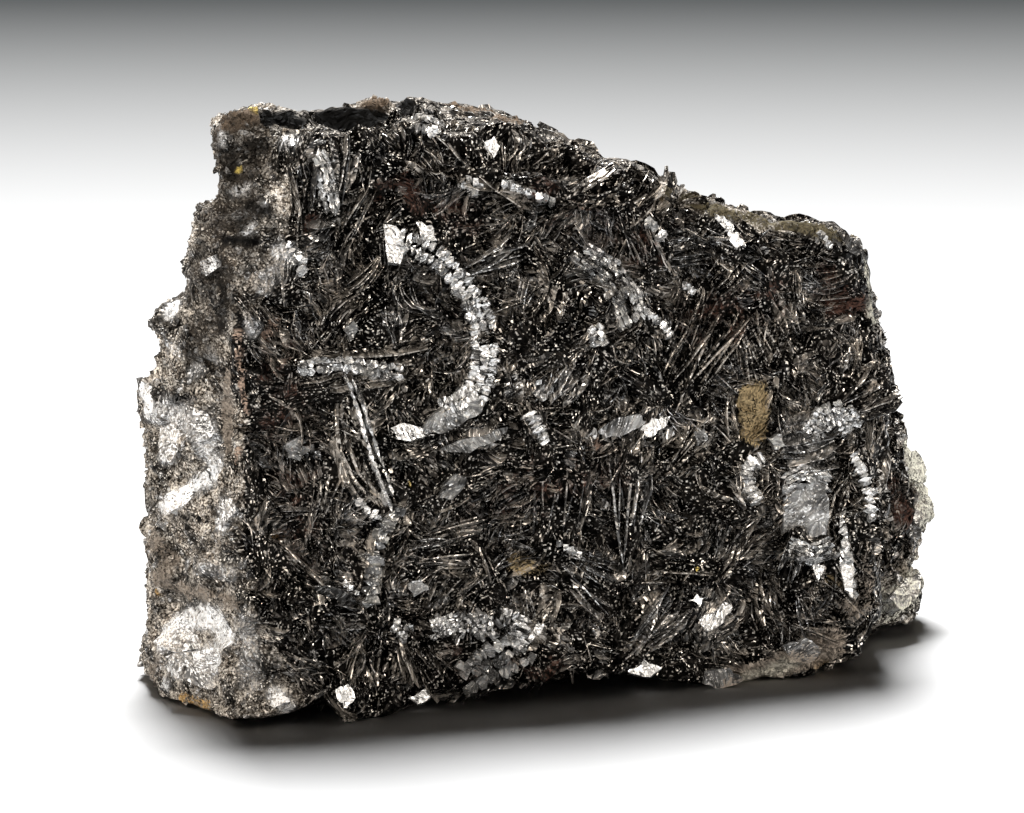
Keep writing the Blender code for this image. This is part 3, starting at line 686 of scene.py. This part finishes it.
def in_fixed_order(obj):
    """Rebuilds the mesh with sorted points and faces: a remesh gives them in no fixed order."""
    points = [tuple(round(x, 7) for x in v.co) for v in obj.data.vertices]
    places = {point: i for i, point in enumerate(sorted(set(points)))}
    faces = []
    for polygon in obj.data.polygons:
        face = [places[points[i]] for i in polygon.vertices]
        first = face.index(min(face))
        faces.append(face[first:] + face[:first])
    mesh = bpy.data.meshes.new(obj.name)
    mesh.from_pydata(sorted(places), [], sorted(faces))
    obj.data = mesh


def ground_mesh(node):
    """The solid's own surface, as an even mesh."""
    obj = new_object("crystal_ground", node.data.copy())
    bm = bmesh.new()
    bm.from_mesh(obj.data)
    bmesh.ops.remove_doubles(bm, verts=bm.verts, dist=0.001 * MM)
    bm.to_mesh(obj.data)
    bm.free()
    remesh = obj.modifiers.new("even", "REMESH")
    remesh.mode = "VOXEL"
    remesh.voxel_size = GROUND_VOXEL
    plain_mesh(obj)
    in_fixed_order(obj)
    return obj


def roughen(obj):
    """Breaks the ground up: lumps and pits of a few sizes, deeper at the granular end."""
    points = points_of(obj)
    share = grain_share(points)
    normals = [v.normal.copy() for v in obj.data.vertices]
    for i, point in enumerate(points):
        place = Vector(point) / MM
        depth = sum(height * noise.noise(place / size) for size, height in GROUND_RELIEF)
        depth = depth * (1 + share[i]) - GROUND_SINK
        foot = min(1, place.z / GROUND_FOOT)
        points[i] = point + np.array(normals[i]) * min(depth, GROUND_RISE) * foot * MM
    keep_inside(obj, points)


# Blades

def blade_mesh(name, bend, rng):
    """A thin wedge along X, a unit long and high: ragged crest, bent in plan."""
    crest = []
    for i in range(BLADE_STATIONS):
        t = i / (BLADE_STATIONS - 1) * 2 - 1
        arch = BLADE_END_HEIGHT + (1 - BLADE_END_HEIGHT) * math.sqrt(1 - t * t * 0.95)
        crest.append(arch * rng.uniform(*BLADE_RAGGED))
    bm = bmesh.new()
    rows = []
    for i in range(BLADE_STATIONS):
        x = i / (BLADE_STATIONS - 1) - 0.5
        thick = BLADE_THICKNESS * (1 - 0.6 * abs(2 * x) ** 3)
        y = bend * (4 * x * x - 0.5) + rng.uniform(-BLADE_UNEVEN, BLADE_UNEVEN) * BLADE_THICKNESS
        top = crest[i]
        rows.append([
            bm.verts.new((x, y - thick / 2, 0)),
            bm.verts.new((x, y - thick / 2 * BLADE_CREST, top)),
            bm.verts.new((x, y + thick / 2 * BLADE_CREST, top)),
            bm.verts.new((x, y + thick / 2, 0)),
        ])
    for here, there in zip(rows, rows[1:]):
        for k in range(4):
            j = (k + 1) % 4
            bm.faces.new((here[k], here[j], there[j], there[k]))
    bm.faces.new(rows[0][::-1])
    bm.faces.new(rows[-1])
    bmesh.ops.recalc_face_normals(bm, faces=bm.faces)
    mesh = bpy.data.meshes.new(name)
    bm.to_mesh(mesh)
    bm.free()
    return mesh


def blade_collection():
    """Blades of each bend, from bent left to bent right, each in a few shapes."""
    collection = bpy.data.collections.new("blade_shapes")
    rng = random.Random(SEED)
    for b, bend in enumerate(BLADE_BENDS):
        for s in range(BLADE_SHAPES):
            name = f"blade_{b}{s}"
            collection.objects.link(bpy.data.objects.new(name, blade_mesh(name, bend, rng)))
    return collection


def named(tree, name, kind="FLOAT"):
    """What the points say under a name."""
    return add(tree, "GeometryNodeInputNamedAttribute", {"Name": name}, data_type=kind).outputs[0]


def shapes_of(tree, collection):
    node = add(tree, "GeometryNodeCollectionInfo", {"Separate Children": True, "Reset Children": True})
    node.inputs["Collection"].default_value = collection
    return node.outputs[0]


def finish_tree(tree, instances, material):
    """Makes the instances real, gives them their material and puts them out."""
    real = add(tree, "GeometryNodeRealizeInstances", {"Geometry": instances})
    done = add(tree, "GeometryNodeSetMaterial", {"Geometry": real.outputs[0], "Material": material})
    add(tree, "NodeGroupOutput", {"Geometry": done.outputs[0]})


def sheaf_tree(collection):
    """Sheaves: each point becomes a row of blades that fan out, lean, and bend together."""
    tree = new_group("sheaves_of_blades", "GeometryNodeTree",
                     {"Geometry": "Geometry", **dict.fromkeys(SHEAF_JITTER, "Float"),
                      "Seed": "Int", "Material": "Material"}, {"Geometry": "Geometry"})
    tree.is_modifier = True
    for item in tree.interface.items_tree:
        if item.name in SHEAF_JITTER:
            item.default_value = SHEAF_JITTER[item.name]
    inputs = add(tree, "NodeGroupInput").outputs

    def chance(low, high, salt, kind="FLOAT"):
        ends, output = {"FLOAT": ((2, 3), 1), "INT": ((4, 5), 2)}[kind]
        seed = maths(tree, "ADD", inputs["Seed"], float(salt))
        values = {ends[0]: low, ends[1]: high, "Seed": seed}
        return add(tree, "FunctionNodeRandomValue", values, data_type=kind).outputs[output]

    def spread(size, salt):
        """Random, from minus to plus the size."""
        return product(tree, chance(-1.0, 1.0, salt), size)

    def turned(arrow, axis, angle):
        values = {"Vector": arrow, "Axis": axis, "Angle": angle}
        return add(tree, "ShaderNodeVectorRotate", values).outputs[0]

    count = named(tree, "blades", "INT")
    rows = add(tree, "GeometryNodeDuplicateElements", {"Geometry": inputs["Geometry"], "Amount": count},
               domain="POINT")
    step = maths(tree, "DIVIDE", sum_of(tree, rows.outputs["Duplicate Index"], 0.5), count)
    side = maths(tree, "SUBTRACT", step, 0.5)
    store = add(tree, "GeometryNodeStoreNamedAttribute",
                {"Geometry": rows.outputs["Geometry"], "Name": "side", "Value": side}, data_type="FLOAT")
    side = named(tree, "side")
    along, out = named(tree, "along", "FLOAT_VECTOR"), named(tree, "out", "FLOAT_VECTOR")
    length = named(tree, "length")
    across = vector(tree, "CROSS_PRODUCT", out, along)
    fan = sum_of(tree, product(tree, named(tree, "fan"), side), spread(inputs["Fan jitter"], 1))
    along = turned(along, out, fan)
    shift = vector(tree, "SCALE", across, product(tree, named(tree, "width"), side))
    ragged = vector(tree, "SCALE", along, product(tree, spread(inputs["Raggedness"], 2), length))
    moved = add(tree, "GeometryNodeSetPosition",
                {"Geometry": store.outputs[0], "Offset": vector(tree, "ADD", shift, ragged)})
    lean = sum_of(tree, named(tree, "lean"), spread(inputs["Lean jitter"], 3))
    raised = turned(out, along, lean)
    facing = add(tree, "FunctionNodeAxesToRotation", {0: along, 1: raised},
                 primary_axis="X", secondary_axis="Z")
    size = product(tree, length, chance(*BLADE_LENGTHS, 4))
    height = product(tree, named(tree, "rise"), sum_of(tree, 1.0, spread(inputs["Height jitter"], 5)))
    scale = add(tree, "ShaderNodeCombineXYZ", {0: size, 1: size, 2: height}).outputs[0]
    shape = sum_of(tree, product(tree, named(tree, "bend", "INT"), float(BLADE_SHAPES)),
                   chance(0, BLADE_SHAPES - 1, 6, "INT"))
    placed = add(tree, "GeometryNodeInstanceOnPoints", {
        "Points": moved.outputs[0], "Instance": shapes_of(tree, collection), "Pick Instance": True,
        "Instance Index": shape, "Rotation": facing.outputs[0], "Scale": scale,
    })
    marked = add(tree, "GeometryNodeStoreNamedAttribute", {
        "Geometry": placed.outputs[0], "Name": "blade", "Value": chance(0.0, 1.0, 8),
    }, data_type="FLOAT", domain="INSTANCE")
    finish_tree(tree, marked.outputs[0], inputs["Material"])
    return tree


def flake_mesh(name, rng):
    """A thin uneven plate, a unit long and wide, its outer face smaller."""
    sides = rng.randint(*FLAKE_SIDES)
    corners = []
    for i in range(sides):
        angle = (i + rng.uniform(-FLAKE_SKEW, FLAKE_SKEW)) * math.tau / sides
        reach = rng.uniform(*FLAKE_REACH)
        corners.append((math.cos(angle) * reach, math.sin(angle) * reach))
    bm = bmesh.new()
    low = [bm.verts.new((x, y, -1)) for x, y in corners]
    high = [bm.verts.new((x * FLAKE_SHRINK, y * FLAKE_SHRINK, rng.uniform(*FLAKE_TOP))) for x, y in corners]
    bm.faces.new(low[::-1])
    bm.faces.new(high)
    for i in range(sides):
        j = (i + 1) % sides
        bm.faces.new((low[i], low[j], high[j], high[i]))
    bmesh.ops.triangulate(bm, faces=bm.faces)
    bmesh.ops.recalc_face_normals(bm, faces=bm.faces)
    mesh = bpy.data.meshes.new(name)
    bm.to_mesh(mesh)
    bm.free()
    return mesh


def flake_collection():
    collection = bpy.data.collections.new("flake_shapes")
    rng = random.Random(SEED + 1)
    for i in range(FLAKE_SHAPES):
        name = f"flake_{i}"
        collection.objects.link(bpy.data.objects.new(name, flake_mesh(name, rng)))
    return collection


def flake_tree(collection):
    """Flakes: each point becomes one thin plate, as long, wide and deep as the point says."""
    tree = new_group("flakes", "GeometryNodeTree",
                     {"Geometry": "Geometry", "Seed": "Int", "Material": "Material"},
                     {"Geometry": "Geometry"})
    tree.is_modifier = True
    inputs = add(tree, "NodeGroupInput").outputs
    facing = add(tree, "FunctionNodeAxesToRotation",
                 {0: named(tree, "along", "FLOAT_VECTOR"), 1: named(tree, "out", "FLOAT_VECTOR")},
                 primary_axis="X", secondary_axis="Z")
    scale = add(tree, "ShaderNodeCombineXYZ",
                {0: named(tree, "length"), 1: named(tree, "width"), 2: named(tree, "rise")})
    shape = add(tree, "FunctionNodeRandomValue", {4: 0, 5: FLAKE_SHAPES - 1, "Seed": inputs["Seed"]},
                data_type="INT")
    points = add(tree, "GeometryNodeMeshToPoints", {"Mesh": inputs["Geometry"]})
    placed = add(tree, "GeometryNodeInstanceOnPoints", {
        "Points": points.outputs[0], "Instance": shapes_of(tree, collection), "Pick Instance": True,
        "Instance Index": shape.outputs[2], "Rotation": facing.outputs[0], "Scale": scale.outputs[0],
    })
    finish_tree(tree, placed.outputs[0], inputs["Material"])
    return tree


def sheaf(place, out, along, length, width, lean, bend, blades, rise, fan, shine):
    return {
        "place": place, "out": out, "along": along, "length": length, "width": width,
        "lean": lean, "bend": bend, "blades": blades, "rise": rise, "fan": fan, "shine": shine,
    }


def point_mesh(name, points):
    """Points, each a sheaf or a flake, with what it says about itself as attributes."""
    mesh = bpy.data.meshes.new(name)
    mesh.from_pydata([p["place"] for p in points], [], [])
    kinds = {"out": "FLOAT_VECTOR", "along": "FLOAT_VECTOR", "bend": "INT", "blades": "INT"}
    for key in points[0]:
        if key == "place":
            continue
        kind = kinds.get(key, "FLOAT")
        layer = mesh.attributes.new(key, kind, "POINT")
        if kind == "FLOAT_VECTOR":
            layer.data.foreach_set("vector", [x for p in points for x in p[key]])
        else:
            layer.data.foreach_set("value", [p[key] for p in points])
    return mesh


def grow(name, points, tree, material, seed):
    """Grows blades or flakes from the points with the node tree and keeps them as a plain mesh."""
    obj = new_object(name, point_mesh(name, points))
    modifier = obj.modifiers.new("grown", "NODES")
    modifier.node_group = tree
    sockets = {item.name: item.identifier for item in tree.interface.items_tree if item.in_out == "INPUT"}
    modifier[sockets["Seed"]] = seed
    modifier[sockets["Material"]] = material
    plain_mesh(obj)
    keep_inside(obj, points_of(obj))
    return obj


def points_of(obj):
    flat = np.zeros(len(obj.data.vertices) * 3, np.float32)
    obj.data.vertices.foreach_get("co", flat)
    return flat.reshape(-1, 3).astype(float)


def keep_inside(obj, points):
    """Gives the mesh its points, none of them outside the solid's box."""
    points = np.clip(points, np.array(CAD_BOX[0]), np.array(CAD_BOX[1])).astype(np.float32)
    obj.data.vertices.foreach_set("co", points.ravel())
    obj.data.update()


def eased(x):
    x = np.clip(x, 0, 1)
    return x * x * (3 - 2 * x)


def grain_share(points):
    """1 in the granular left end, 0 in the bladed rest; its edge wanders, most of all behind."""
    x, y = pixels_of(points)
    edge = np.interp(y, [p[0] for p in GRAIN_EDGE], [p[1] for p in GRAIN_EDGE])
    wander = np.array([noise.noise(Vector(p) / GRAIN_WANDER_SIZE) for p in points])
    behind = np.clip(points[:, 1] / GRAIN_BEHIND, 0, 1)
    edge = edge + wander * (GRAIN_WANDER_FRONT + GRAIN_WANDER_BEHIND * behind)
    return eased((edge - x) / (GRAIN_EDGE_SOFTNESS * (1 + 2 * behind)) + 0.5)


def near_line(points, surface, line, radius, blur):
    """How much each point belongs to a line drawn on the ground: 1 near it, 0 away from it."""
    weight = np.zeros(len(points))
    for pixel, _ in along_line(line, LINE_STEP):
        ground = on_ground(surface, pixel)
        if ground:
            away = np.linalg.norm(points - np.array(ground[0]), axis=1) / radius
            weight = np.maximum(weight, eased((1 + blur - away) / (2 * blur)))
    return weight


def weather(obj, surface):
    """Marks every point with how silvery and how crusted it is, and with the stain and painted shade that
    lie there.
    """
    points = points_of(obj)
    silver = np.zeros(len(points), np.float32)
    if "shine" in obj.data.attributes:
        obj.data.attributes["shine"].data.foreach_get("value", silver)
    for line, radius, strength in SILVERS:
        near = near_line(points, surface, line, radius * PICTURE_STEP, SILVER_BLUR)
        silver = np.maximum(silver, strength * near)
    tint = np.zeros((len(points), 4))
    for line, radius, name, strength in STAINS_AND_SHADE:
        part = strength * near_line(points, surface, line, radius * MM, STAIN_AND_SHADE_BLUR)[:, None]
        tint = tint * (1 - part) + np.array([*TINTS[name], 1.0]) * part
    tint[:, :3] /= np.maximum(tint[:, 3:], 1e-6)
    for name, values in (("silver", silver), ("crust", stone_share(points, surface))):
        layer = obj.data.attributes.new(name, "FLOAT", "POINT")
        layer.data.foreach_set("value", np.asarray(values, np.float32))
    layer = obj.data.attributes.new("tint", "FLOAT_COLOR", "POINT")
    layer.data.foreach_set("color", tint.astype(np.float32).ravel())


def surface_of(obj):
    bm = bmesh.new()
    bm.from_mesh(obj.data)
    tree = BVHTree.FromBMesh(bm)
    bm.free()
    return tree


def face_direction(degrees):
    """A direction in the face, in degrees up from level."""
    angle = math.radians(degrees)
    return Vector((math.cos(angle), 0, math.sin(angle)))


def named_sheaves(surface, rng):
    """The sheaves that show best, each where its pixel shows the ground."""
    sheaves = []
    for pixel, degrees, length, width, lean, bend in FACE_SHEAVES:
        ground = on_ground(surface, pixel)
        if not ground:
            continue
        out = (FRONT + ground[1] * NAMED_TURN).normalized()
        along = face_direction(degrees)
        along = (along - out * along.dot(out)).normalized()
        size = length * PICTURE_STEP * NAMED_LONGER
        spread = width * PICTURE_STEP * NAMED_WIDER
        blades = max(5, round(spread / NAMED_PITCH))
        rise = rng.uniform(*NAMED_RISE) * MM
        place = ground[0] - out * rise * NAMED_SINK
        side = out.cross(along)
        proud = stands_out(surface, place + out * rise, along, size / 2, side, spread / 2) - NAMED_PROUD
        place = place - out * max(0, proud)
        bend_shape = BLADE_BENDS.index(0.0) + bend * 2
        sheaves.append(sheaf(place, out, along, size, spread, math.radians(lean), bend_shape, blades,
                             rise, rng.uniform(*NAMED_FAN), rng.choice(SHEAF_SHINES)))
    return sheaves


def stands_out(surface, place, way, reach, side, half):
    """How far the corners of a sheaf's crests, with what its fan adds, would stand out of the ground."""
    most = -1.0
    for i, j in ((-1, -1), (-1, 1), (1, -1), (1, 1)):
        end = place + way * reach * FAN_REACH * i + side * half * FAN_REACH * j
        near, normal, _, _ = surface.find_nearest(end)
        most = max(most, (end - near).dot(normal))
    return most


def bare_lines(points, surface, blur):
    """1 on the bare stone between the crystals."""
    parts = [near_line(points, surface, line, radius * MM, blur) for line, radius in BARE]
    return np.max(parts, axis=0)


def stone_share(points, surface):
    """1 where no crystal shows: in the granular end and on the bare stone."""
    return np.maximum(grain_share(points), bare_lines(points, surface, STONE_BLUR))


def bare_share(points, surface):
    """1 where the stone is bare or hollow."""
    share = bare_lines(points, surface, BARE_BLUR)
    for pixel, radius in HOLLOWS:
        share = np.maximum(share, near_line(points, surface, (pixel,), radius * MM, BARE_BLUR))
    return share


def on_plates(points, normals):
    """True where a broad plate lies over the point in the picture."""
    x, y = pixels_of(points)
    covered = np.zeros(len(points), bool)
    for outline, _, _ in PLATES:
        within = np.zeros(len(points), bool)
        for a, b in zip(outline, outline[1:] + outline[:1]):
            if a[1] != b[1]:
                edge = a[0] + (y - a[1]) * (b[0] - a[0]) / (b[1] - a[1])
                within ^= ((a[1] > y) != (b[1] > y)) & (x < edge)
        covered |= within
    return covered & (normals @ np.array(BACK) > 0)


def patch_direction(place, out):
    """The way that the crystals run in a patch of the block."""
    cell = noise.voronoi(place / PATCH_SIZE)[1][0]
    way = noise.cell_vector(cell * PATCH_SCATTER) - Vector((0.5, 0.5, 0.5))
    return (way - out * way.dot(out)).normalized()


def filling_sheaves(obj, surface, count, keep, rng, sizes):
    """Sheaves over the surface: those in one patch of crystal run the same way."""
    faces = [p for p in obj.data.polygons if keep(p)]
    centres = np.array([p.center for p in faces])
    normals = np.array([p.normal for p in faces])
    closed = np.maximum(grain_share(centres) * sizes["grain_gap"], bare_share(centres, surface))
    closed = np.maximum(closed, PLATE_GAP * on_plates(centres, normals))
    tilt = sizes["tilt"]
    sheaves = []
    for index in rng.choices(range(len(faces)), [p.area for p in faces], k=count * TRIES):
        face = faces[index]
        if len(sheaves) == count:
            break
        if rng.random() < closed[index]:
            continue
        out = (face.normal + Vector([rng.uniform(-tilt, tilt) for _ in range(3)])).normalized()
        along = patch_direction(face.center, out)
        along.rotate(Matrix.Rotation(rng.gauss(0, PATCH_SPREAD), 3, out))
        length = rng.uniform(*sizes["length"])
        width = rng.uniform(*sizes["width"])
        rise = rng.uniform(*sizes["rise"])
        place = face.center - out * rise * rng.uniform(*sizes["sink"])
        side = out.cross(along)
        if stands_out(surface, place + out * rise, along, length / 2, side, width / 2) > STAND_PROUD:
            continue
        blades = max(3, round(width / rng.uniform(*sizes["pitch"])))
        sheaves.append(sheaf(place, out, along, length, width, rng.uniform(-MOST_LEAN, MOST_LEAN),
                             rng.choice(BEND_CHOICES), blades, rise, rng.uniform(0, MOST_FAN),
                             rng.choice(SHEAF_SHINES)))
    return sheaves


def on_face(low, high):
    """Whether a polygon lies on the face, within a stretch of X in millimetres."""
    return lambda p: p.normal.y < FACE_TURN and low <= p.center.x / MM < high


def off_face(p):
    """Whether a polygon lies on the other sides, apart from the base."""
    return p.normal.y > FACE_TURN and p.normal.z > BASE_TURN


def facing_light(place, name):
    """The normal of a facet that flashes the named light into the eye."""
    view = (EYE - place).normalized()
    return (view + (LIGHTS[name][0] - place).normalized()).normalized()


def facing(place, name):
    """The way a plate faces: square to the face of the block, or so that it flashes a light."""
    return SQUARE if name == "square" else facing_light(place, name)


def scaly_patches(surface, rng):
    """Bands of scales that lie nearly even and shine together, with dark cracks between."""
    flakes = []
    for line, across, long_side, rows, faces, uneven, shine in SCALES:
        for pixel, way in along_line(line, long_side):
            for row in range(rows):
                offset = (row + 0.5 - rows / 2) * across + rng.uniform(-SCALE_SHIFT, SCALE_SHIFT) * across
                slide = rng.uniform(-SCALE_SLIDE, SCALE_SLIDE) * long_side
                spot = (pixel[0] - way[1] * offset + way[0] * slide,
                        pixel[1] + way[0] * offset + way[1] * slide)
                ground = on_ground(surface, spot)
                if not ground:
                    continue
                place = ground[0] + FRONT * rng.uniform(*SCALE_RISE) * MM
                turn = [rng.gauss(0, math.radians(uneven) * SCALE_UNEVEN) for _ in range(3)]
                out = (facing(place, faces) + Vector(turn)).normalized()
                run = RIGHT * way[0] - UP * way[1]
                along = (run - out * run.dot(out)).normalized()
                flakes.append({
                    "place": place, "out": out, "along": along,
                    "length": long_side * PICTURE_STEP * rng.uniform(*SCALE_LONGER),
                    "width": across * PICTURE_STEP * rng.uniform(*SCALE_WIDER),
                    "rise": rng.uniform(*SCALE_RISE) * MM,
                    "blade": rng.random(), "shine": shine * rng.choice(SCALE_SHINES),
                })
    return flakes


def ragged(outline, rng):
    """The outline with two uneven points more on each side."""
    points = []
    for a, b in zip(outline, outline[1:] + outline[:1]):
        points.append(a)
        for share in (0.33, 0.67):
            off = rng.uniform(-RAGGED_PIXELS, RAGGED_PIXELS)
            way = Vector((b[1] - a[1], a[0] - b[0])).normalized() * off
            points.append((a[0] + (b[0] - a[0]) * share + way.x, a[1] + (b[1] - a[1]) * share + way.y))
    return points


def cleavage_plates(surface, rng):
    """Broad plates, each a flat solid sunk in the ground, seen as its outline in the picture."""
    bm = bmesh.new()
    shines = []
    for outline, faces, shine in PLATES:
        middle = (sum(x for x, _ in outline) / len(outline), sum(y for _, y in outline) / len(outline))
        outline = ragged(outline, rng)
        ground = on_ground(surface, middle)
        if not ground:
            continue
        place = ground[0] + (FRONT + ground[1]).normalized() * PLATE_RISE[faces]
        out = facing(place, faces)
        if faces == "left":
            out = (out + ground[1] * LEFT_PLATE_TURN).normalized()
        corners = []
        for pixel in outline:
            ray = sight(pixel)
            corners.append(EYE + ray * ((place - EYE).dot(out) / ray.dot(out)))
        high = [bm.verts.new(c) for c in corners]
        low = [bm.verts.new(c - out * PLATE_DEPTH) for c in corners]
        bm.faces.new(high)
        bm.faces.new(low[::-1])
        for i in range(len(corners)):
            j = (i + 1) % len(corners)
            bm.faces.new((high[i], low[i], low[j], high[j]))
        shines += [shine] * (2 * len(corners))
    bmesh.ops.recalc_face_normals(bm, faces=bm.faces)
    mesh = bpy.data.meshes.new("cleavage_plates")
    bm.to_mesh(mesh)
    bm.free()
    mesh.attributes.new("shine", "FLOAT", "POINT").data.foreach_set("value", shines)
    mesh.attributes.new("blade", "FLOAT", "POINT").data.foreach_set("value", [PLATE_SHADE] * len(shines))
    obj = new_object("cleavage_plates", mesh)
    keep_inside(obj, points_of(obj))
    return obj


def grain_flakes(obj, surface, count, rng):
    """Small blocky crystals of the granular left end and of the bare stone, each turned its own way."""
    faces = [p for p in obj.data.polygons if p.normal.z > GRAIN_BASE_TURN]
    share = stone_share(np.array([p.center for p in faces]), surface)
    weights = [p.area * float(s) for p, s in zip(faces, share)]
    flakes = []
    for face in rng.choices(faces, weights, k=count):
        turn = [rng.uniform(-GRAIN_TURN, GRAIN_TURN) for _ in range(3)]
        out = (face.normal + Vector(turn)).normalized()
        along = out.orthogonal().normalized()
        along.rotate(Matrix.Rotation(rng.uniform(0, math.tau), 3, out))
        size = rng.uniform(*GRAIN_SIZES) * MM
        flakes.append({
            "place": face.center + face.normal * rng.uniform(0.0, GRAIN_PROUD) * MM,
            "out": out, "along": along, "length": size * rng.uniform(*GRAIN_LONGER), "width": size,
            "rise": rng.uniform(*GRAIN_RISE) * MM,
            "blade": rng.random(), "shine": 0.05 + 0.5 * rng.random() ** 4,
        })
    return flakes


# Stage

def area_light(name, place, aim, width, height, power, colour, shines_on):
    """A softbox that shines on the given collection alone, as if flagged, or on everything."""
    data = bpy.data.lights.new(name, "AREA")
    data.shape = "RECTANGLE"
    data.size, data.size_y = width, height
    data.energy = power
    data.color = colour
    obj = bpy.data.objects.new(name, data)
    bpy.context.scene.collection.objects.link(obj)
    obj.location = place
    obj.rotation_mode = "QUATERNION"
    obj.rotation_quaternion = (aim - place).to_track_quat("-Z", "Y")
    obj.light_linking.receiver_collection = shines_on
    return obj


def stage_material():
    """White near the specimen, greyed by painted shade further back."""
    material = bpy.data.materials.new("pale_sweep")
    tree = tree_of(material)
    place = add(tree, "ShaderNodeTexCoord").outputs["Object"]
    away = Vector((-BACK.x, -BACK.y, 0)).normalized()
    back = add(tree, "ShaderNodeVectorMath", {0: place, 1: away}, operation="DOT_PRODUCT").outputs["Value"]
    shade = mixed(tree, ramp(tree, back, *FLOOR_FADE), FLOOR_WHITE, FLOOR_SHADE_GREY)
    shader = add(tree, "ShaderNodeBsdfPrincipled", {"Base Color": shade, "Roughness": 0.7})
    output = add(tree, "ShaderNodeOutputMaterial")
    tree.links.new(shader.outputs[0], output.inputs["Surface"])
    return material


def make_stage():
    """A pale floor that sweeps up behind the specimen."""
    bm = bmesh.new()
    profile = [(FLOOR_FRONT, 0)]
    for degrees in range(0, 91, FLOOR_BEND_STEP):
        a = math.radians(degrees)
        profile.append((FLOOR_BEND_START + FLOOR_BEND * math.sin(a), FLOOR_BEND * (1 - math.cos(a))))
    profile.append((FLOOR_BEND_START + FLOOR_BEND, WALL_TOP))
    rows = []
    for y, z in profile:
        rows.append([bm.verts.new((x, y, z - FLOOR_DROP)) for x in (-FLOOR_SIDE, FLOOR_SIDE)])
    for a, b in zip(rows, rows[1:]):
        bm.faces.new((a[0], a[1], b[1], b[0]))
    mesh = bpy.data.meshes.new("pale_floor")
    bm.to_mesh(mesh)
    bm.free()
    for polygon in mesh.polygons:
        polygon.use_smooth = True
    floor = new_object("pale_floor", mesh)
    floor.data.materials.append(stage_material())


def make_lights(specimen):
    """Softboxes that flash in the facets, and one overhead that lights the table."""
    world = bpy.data.worlds.new("dim_room")
    bpy.context.scene.world = world
    world.use_nodes = True
    background = world.node_tree.nodes["Background"]
    background.inputs["Color"].default_value = (0.5, 0.5, 0.5, 1)
    background.inputs["Strength"].default_value = ROOM_LIGHT
    block = bpy.data.collections.new("lit_by_softboxes")
    for obj in specimen:
        block.objects.link(obj)
    for name, (place, width, height, power, colour) in LIGHTS.items():
        shines_on = None if name == "top" else block
        area_light(f"softbox_{name}", place, LIGHT_AIM, width, height, power, colour, shines_on)


def make_camera():
    """The photograph's view: the aim point shows at its pixel by a small shift."""
    data = bpy.data.cameras.new("photo_view")
    data.sensor_width = SENSOR
    data.lens = SENSOR * EYE_DISTANCE / (PICTURE_SIZE[0] * PICTURE_STEP)
    data.shift_x = (PICTURE_SIZE[0] / 2 - AIM_PIXEL[0]) / PICTURE_SIZE[0]
    data.shift_y = (AIM_PIXEL[1] - PICTURE_SIZE[1] / 2) / PICTURE_SIZE[0]
    data.clip_start = 0.01
    camera = bpy.data.objects.new("photo_view", data)
    bpy.context.scene.collection.objects.link(camera)
    camera.location = EYE
    camera.rotation_mode = "QUATERNION"
    camera.rotation_quaternion = Matrix((RIGHT, UP, BACK)).transposed().to_quaternion()
    bpy.context.scene.camera = camera


def make_looks():
    """The four materials: blades, broken ground, cleavages and grains."""
    facets, crust = facet_group(), crust_group()

    # Darkest and lightest facets, their sizes, their roughness, and whether grains of stone stand up
    looks = {
        "blades": (IRON_BLACK, (0.6, 0.55, 0.49, 1), FINE_FACETS, 0.14, False),
        "ground": (IRON_BLACK, (0.34, 0.31, 0.28, 1), {**FINE_FACETS, "Tilt": 1.3}, 0.2, True),
        "cleavage": ((0.12, 0.12, 0.12, 1), (0.4, 0.4, 0.38, 1), SCALE_FACETS, 0.16, True),
        "grains": ((0.06, 0.055, 0.05, 1), (0.5, 0.48, 0.44, 1),
                   {**FINE_FACETS, "Blade length": 0.6, "Tilt": 0.5}, 0.25, True),
    }
    return {name: crystal_material(f"manganite_{name}", facets, crust, *look)
            for name, look in looks.items()}


def make_specimen(node, looks):
    """All the pieces of the specimen, in the order that their random draws need."""
    ground = ground_mesh(node)
    ground.data.materials.append(looks["ground"])
    roughen(ground)
    surface = surface_of(ground)
    sheaves = sheaf_tree(blade_collection())
    flakes = flake_tree(flake_collection())
    rng = random.Random(SEED)
    pieces = [ground, grow("face_sheaves", named_sheaves(surface, rng), sheaves, looks["blades"], 1)]
    for name, (low, high, count, seed) in FACE_STRETCHES.items():
        filling = filling_sheaves(ground, surface, count, on_face(low, high), rng, FINE)
        pieces.append(grow(name, filling, sheaves, looks["blades"], seed))
    filling = filling_sheaves(ground, surface, BACK_COUNT, off_face, rng, COARSE)
    pieces.append(grow("back_blades", filling, sheaves, looks["blades"], 4))
    scales = scaly_patches(surface, rng)
    pieces.append(grow("cleavage_scales", scales, flakes, looks["cleavage"], 5))
    plates = cleavage_plates(surface, rng)
    plates.data.materials.append(looks["cleavage"])
    grains = grain_flakes(ground, surface, GRAIN_COUNT, rng)
    pieces += [plates, grow("left_end_grains", grains, flakes, looks["grains"], 6)]
    for piece in pieces:
        weather(piece, surface)
    return pieces


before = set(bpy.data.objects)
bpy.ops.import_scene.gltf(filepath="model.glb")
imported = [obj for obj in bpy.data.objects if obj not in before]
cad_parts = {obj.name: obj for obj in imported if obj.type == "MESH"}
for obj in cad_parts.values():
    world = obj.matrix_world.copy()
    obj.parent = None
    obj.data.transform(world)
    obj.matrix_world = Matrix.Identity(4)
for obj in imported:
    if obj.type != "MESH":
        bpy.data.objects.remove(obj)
CAD_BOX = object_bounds()
make_camera()
pieces = make_specimen(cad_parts["manganite"], make_looks())
for piece in pieces:
    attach(piece, "root")
    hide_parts("manganite")
make_stage()
make_lights(pieces)

bpy.context.scene.view_settings.view_transform = "Standard"
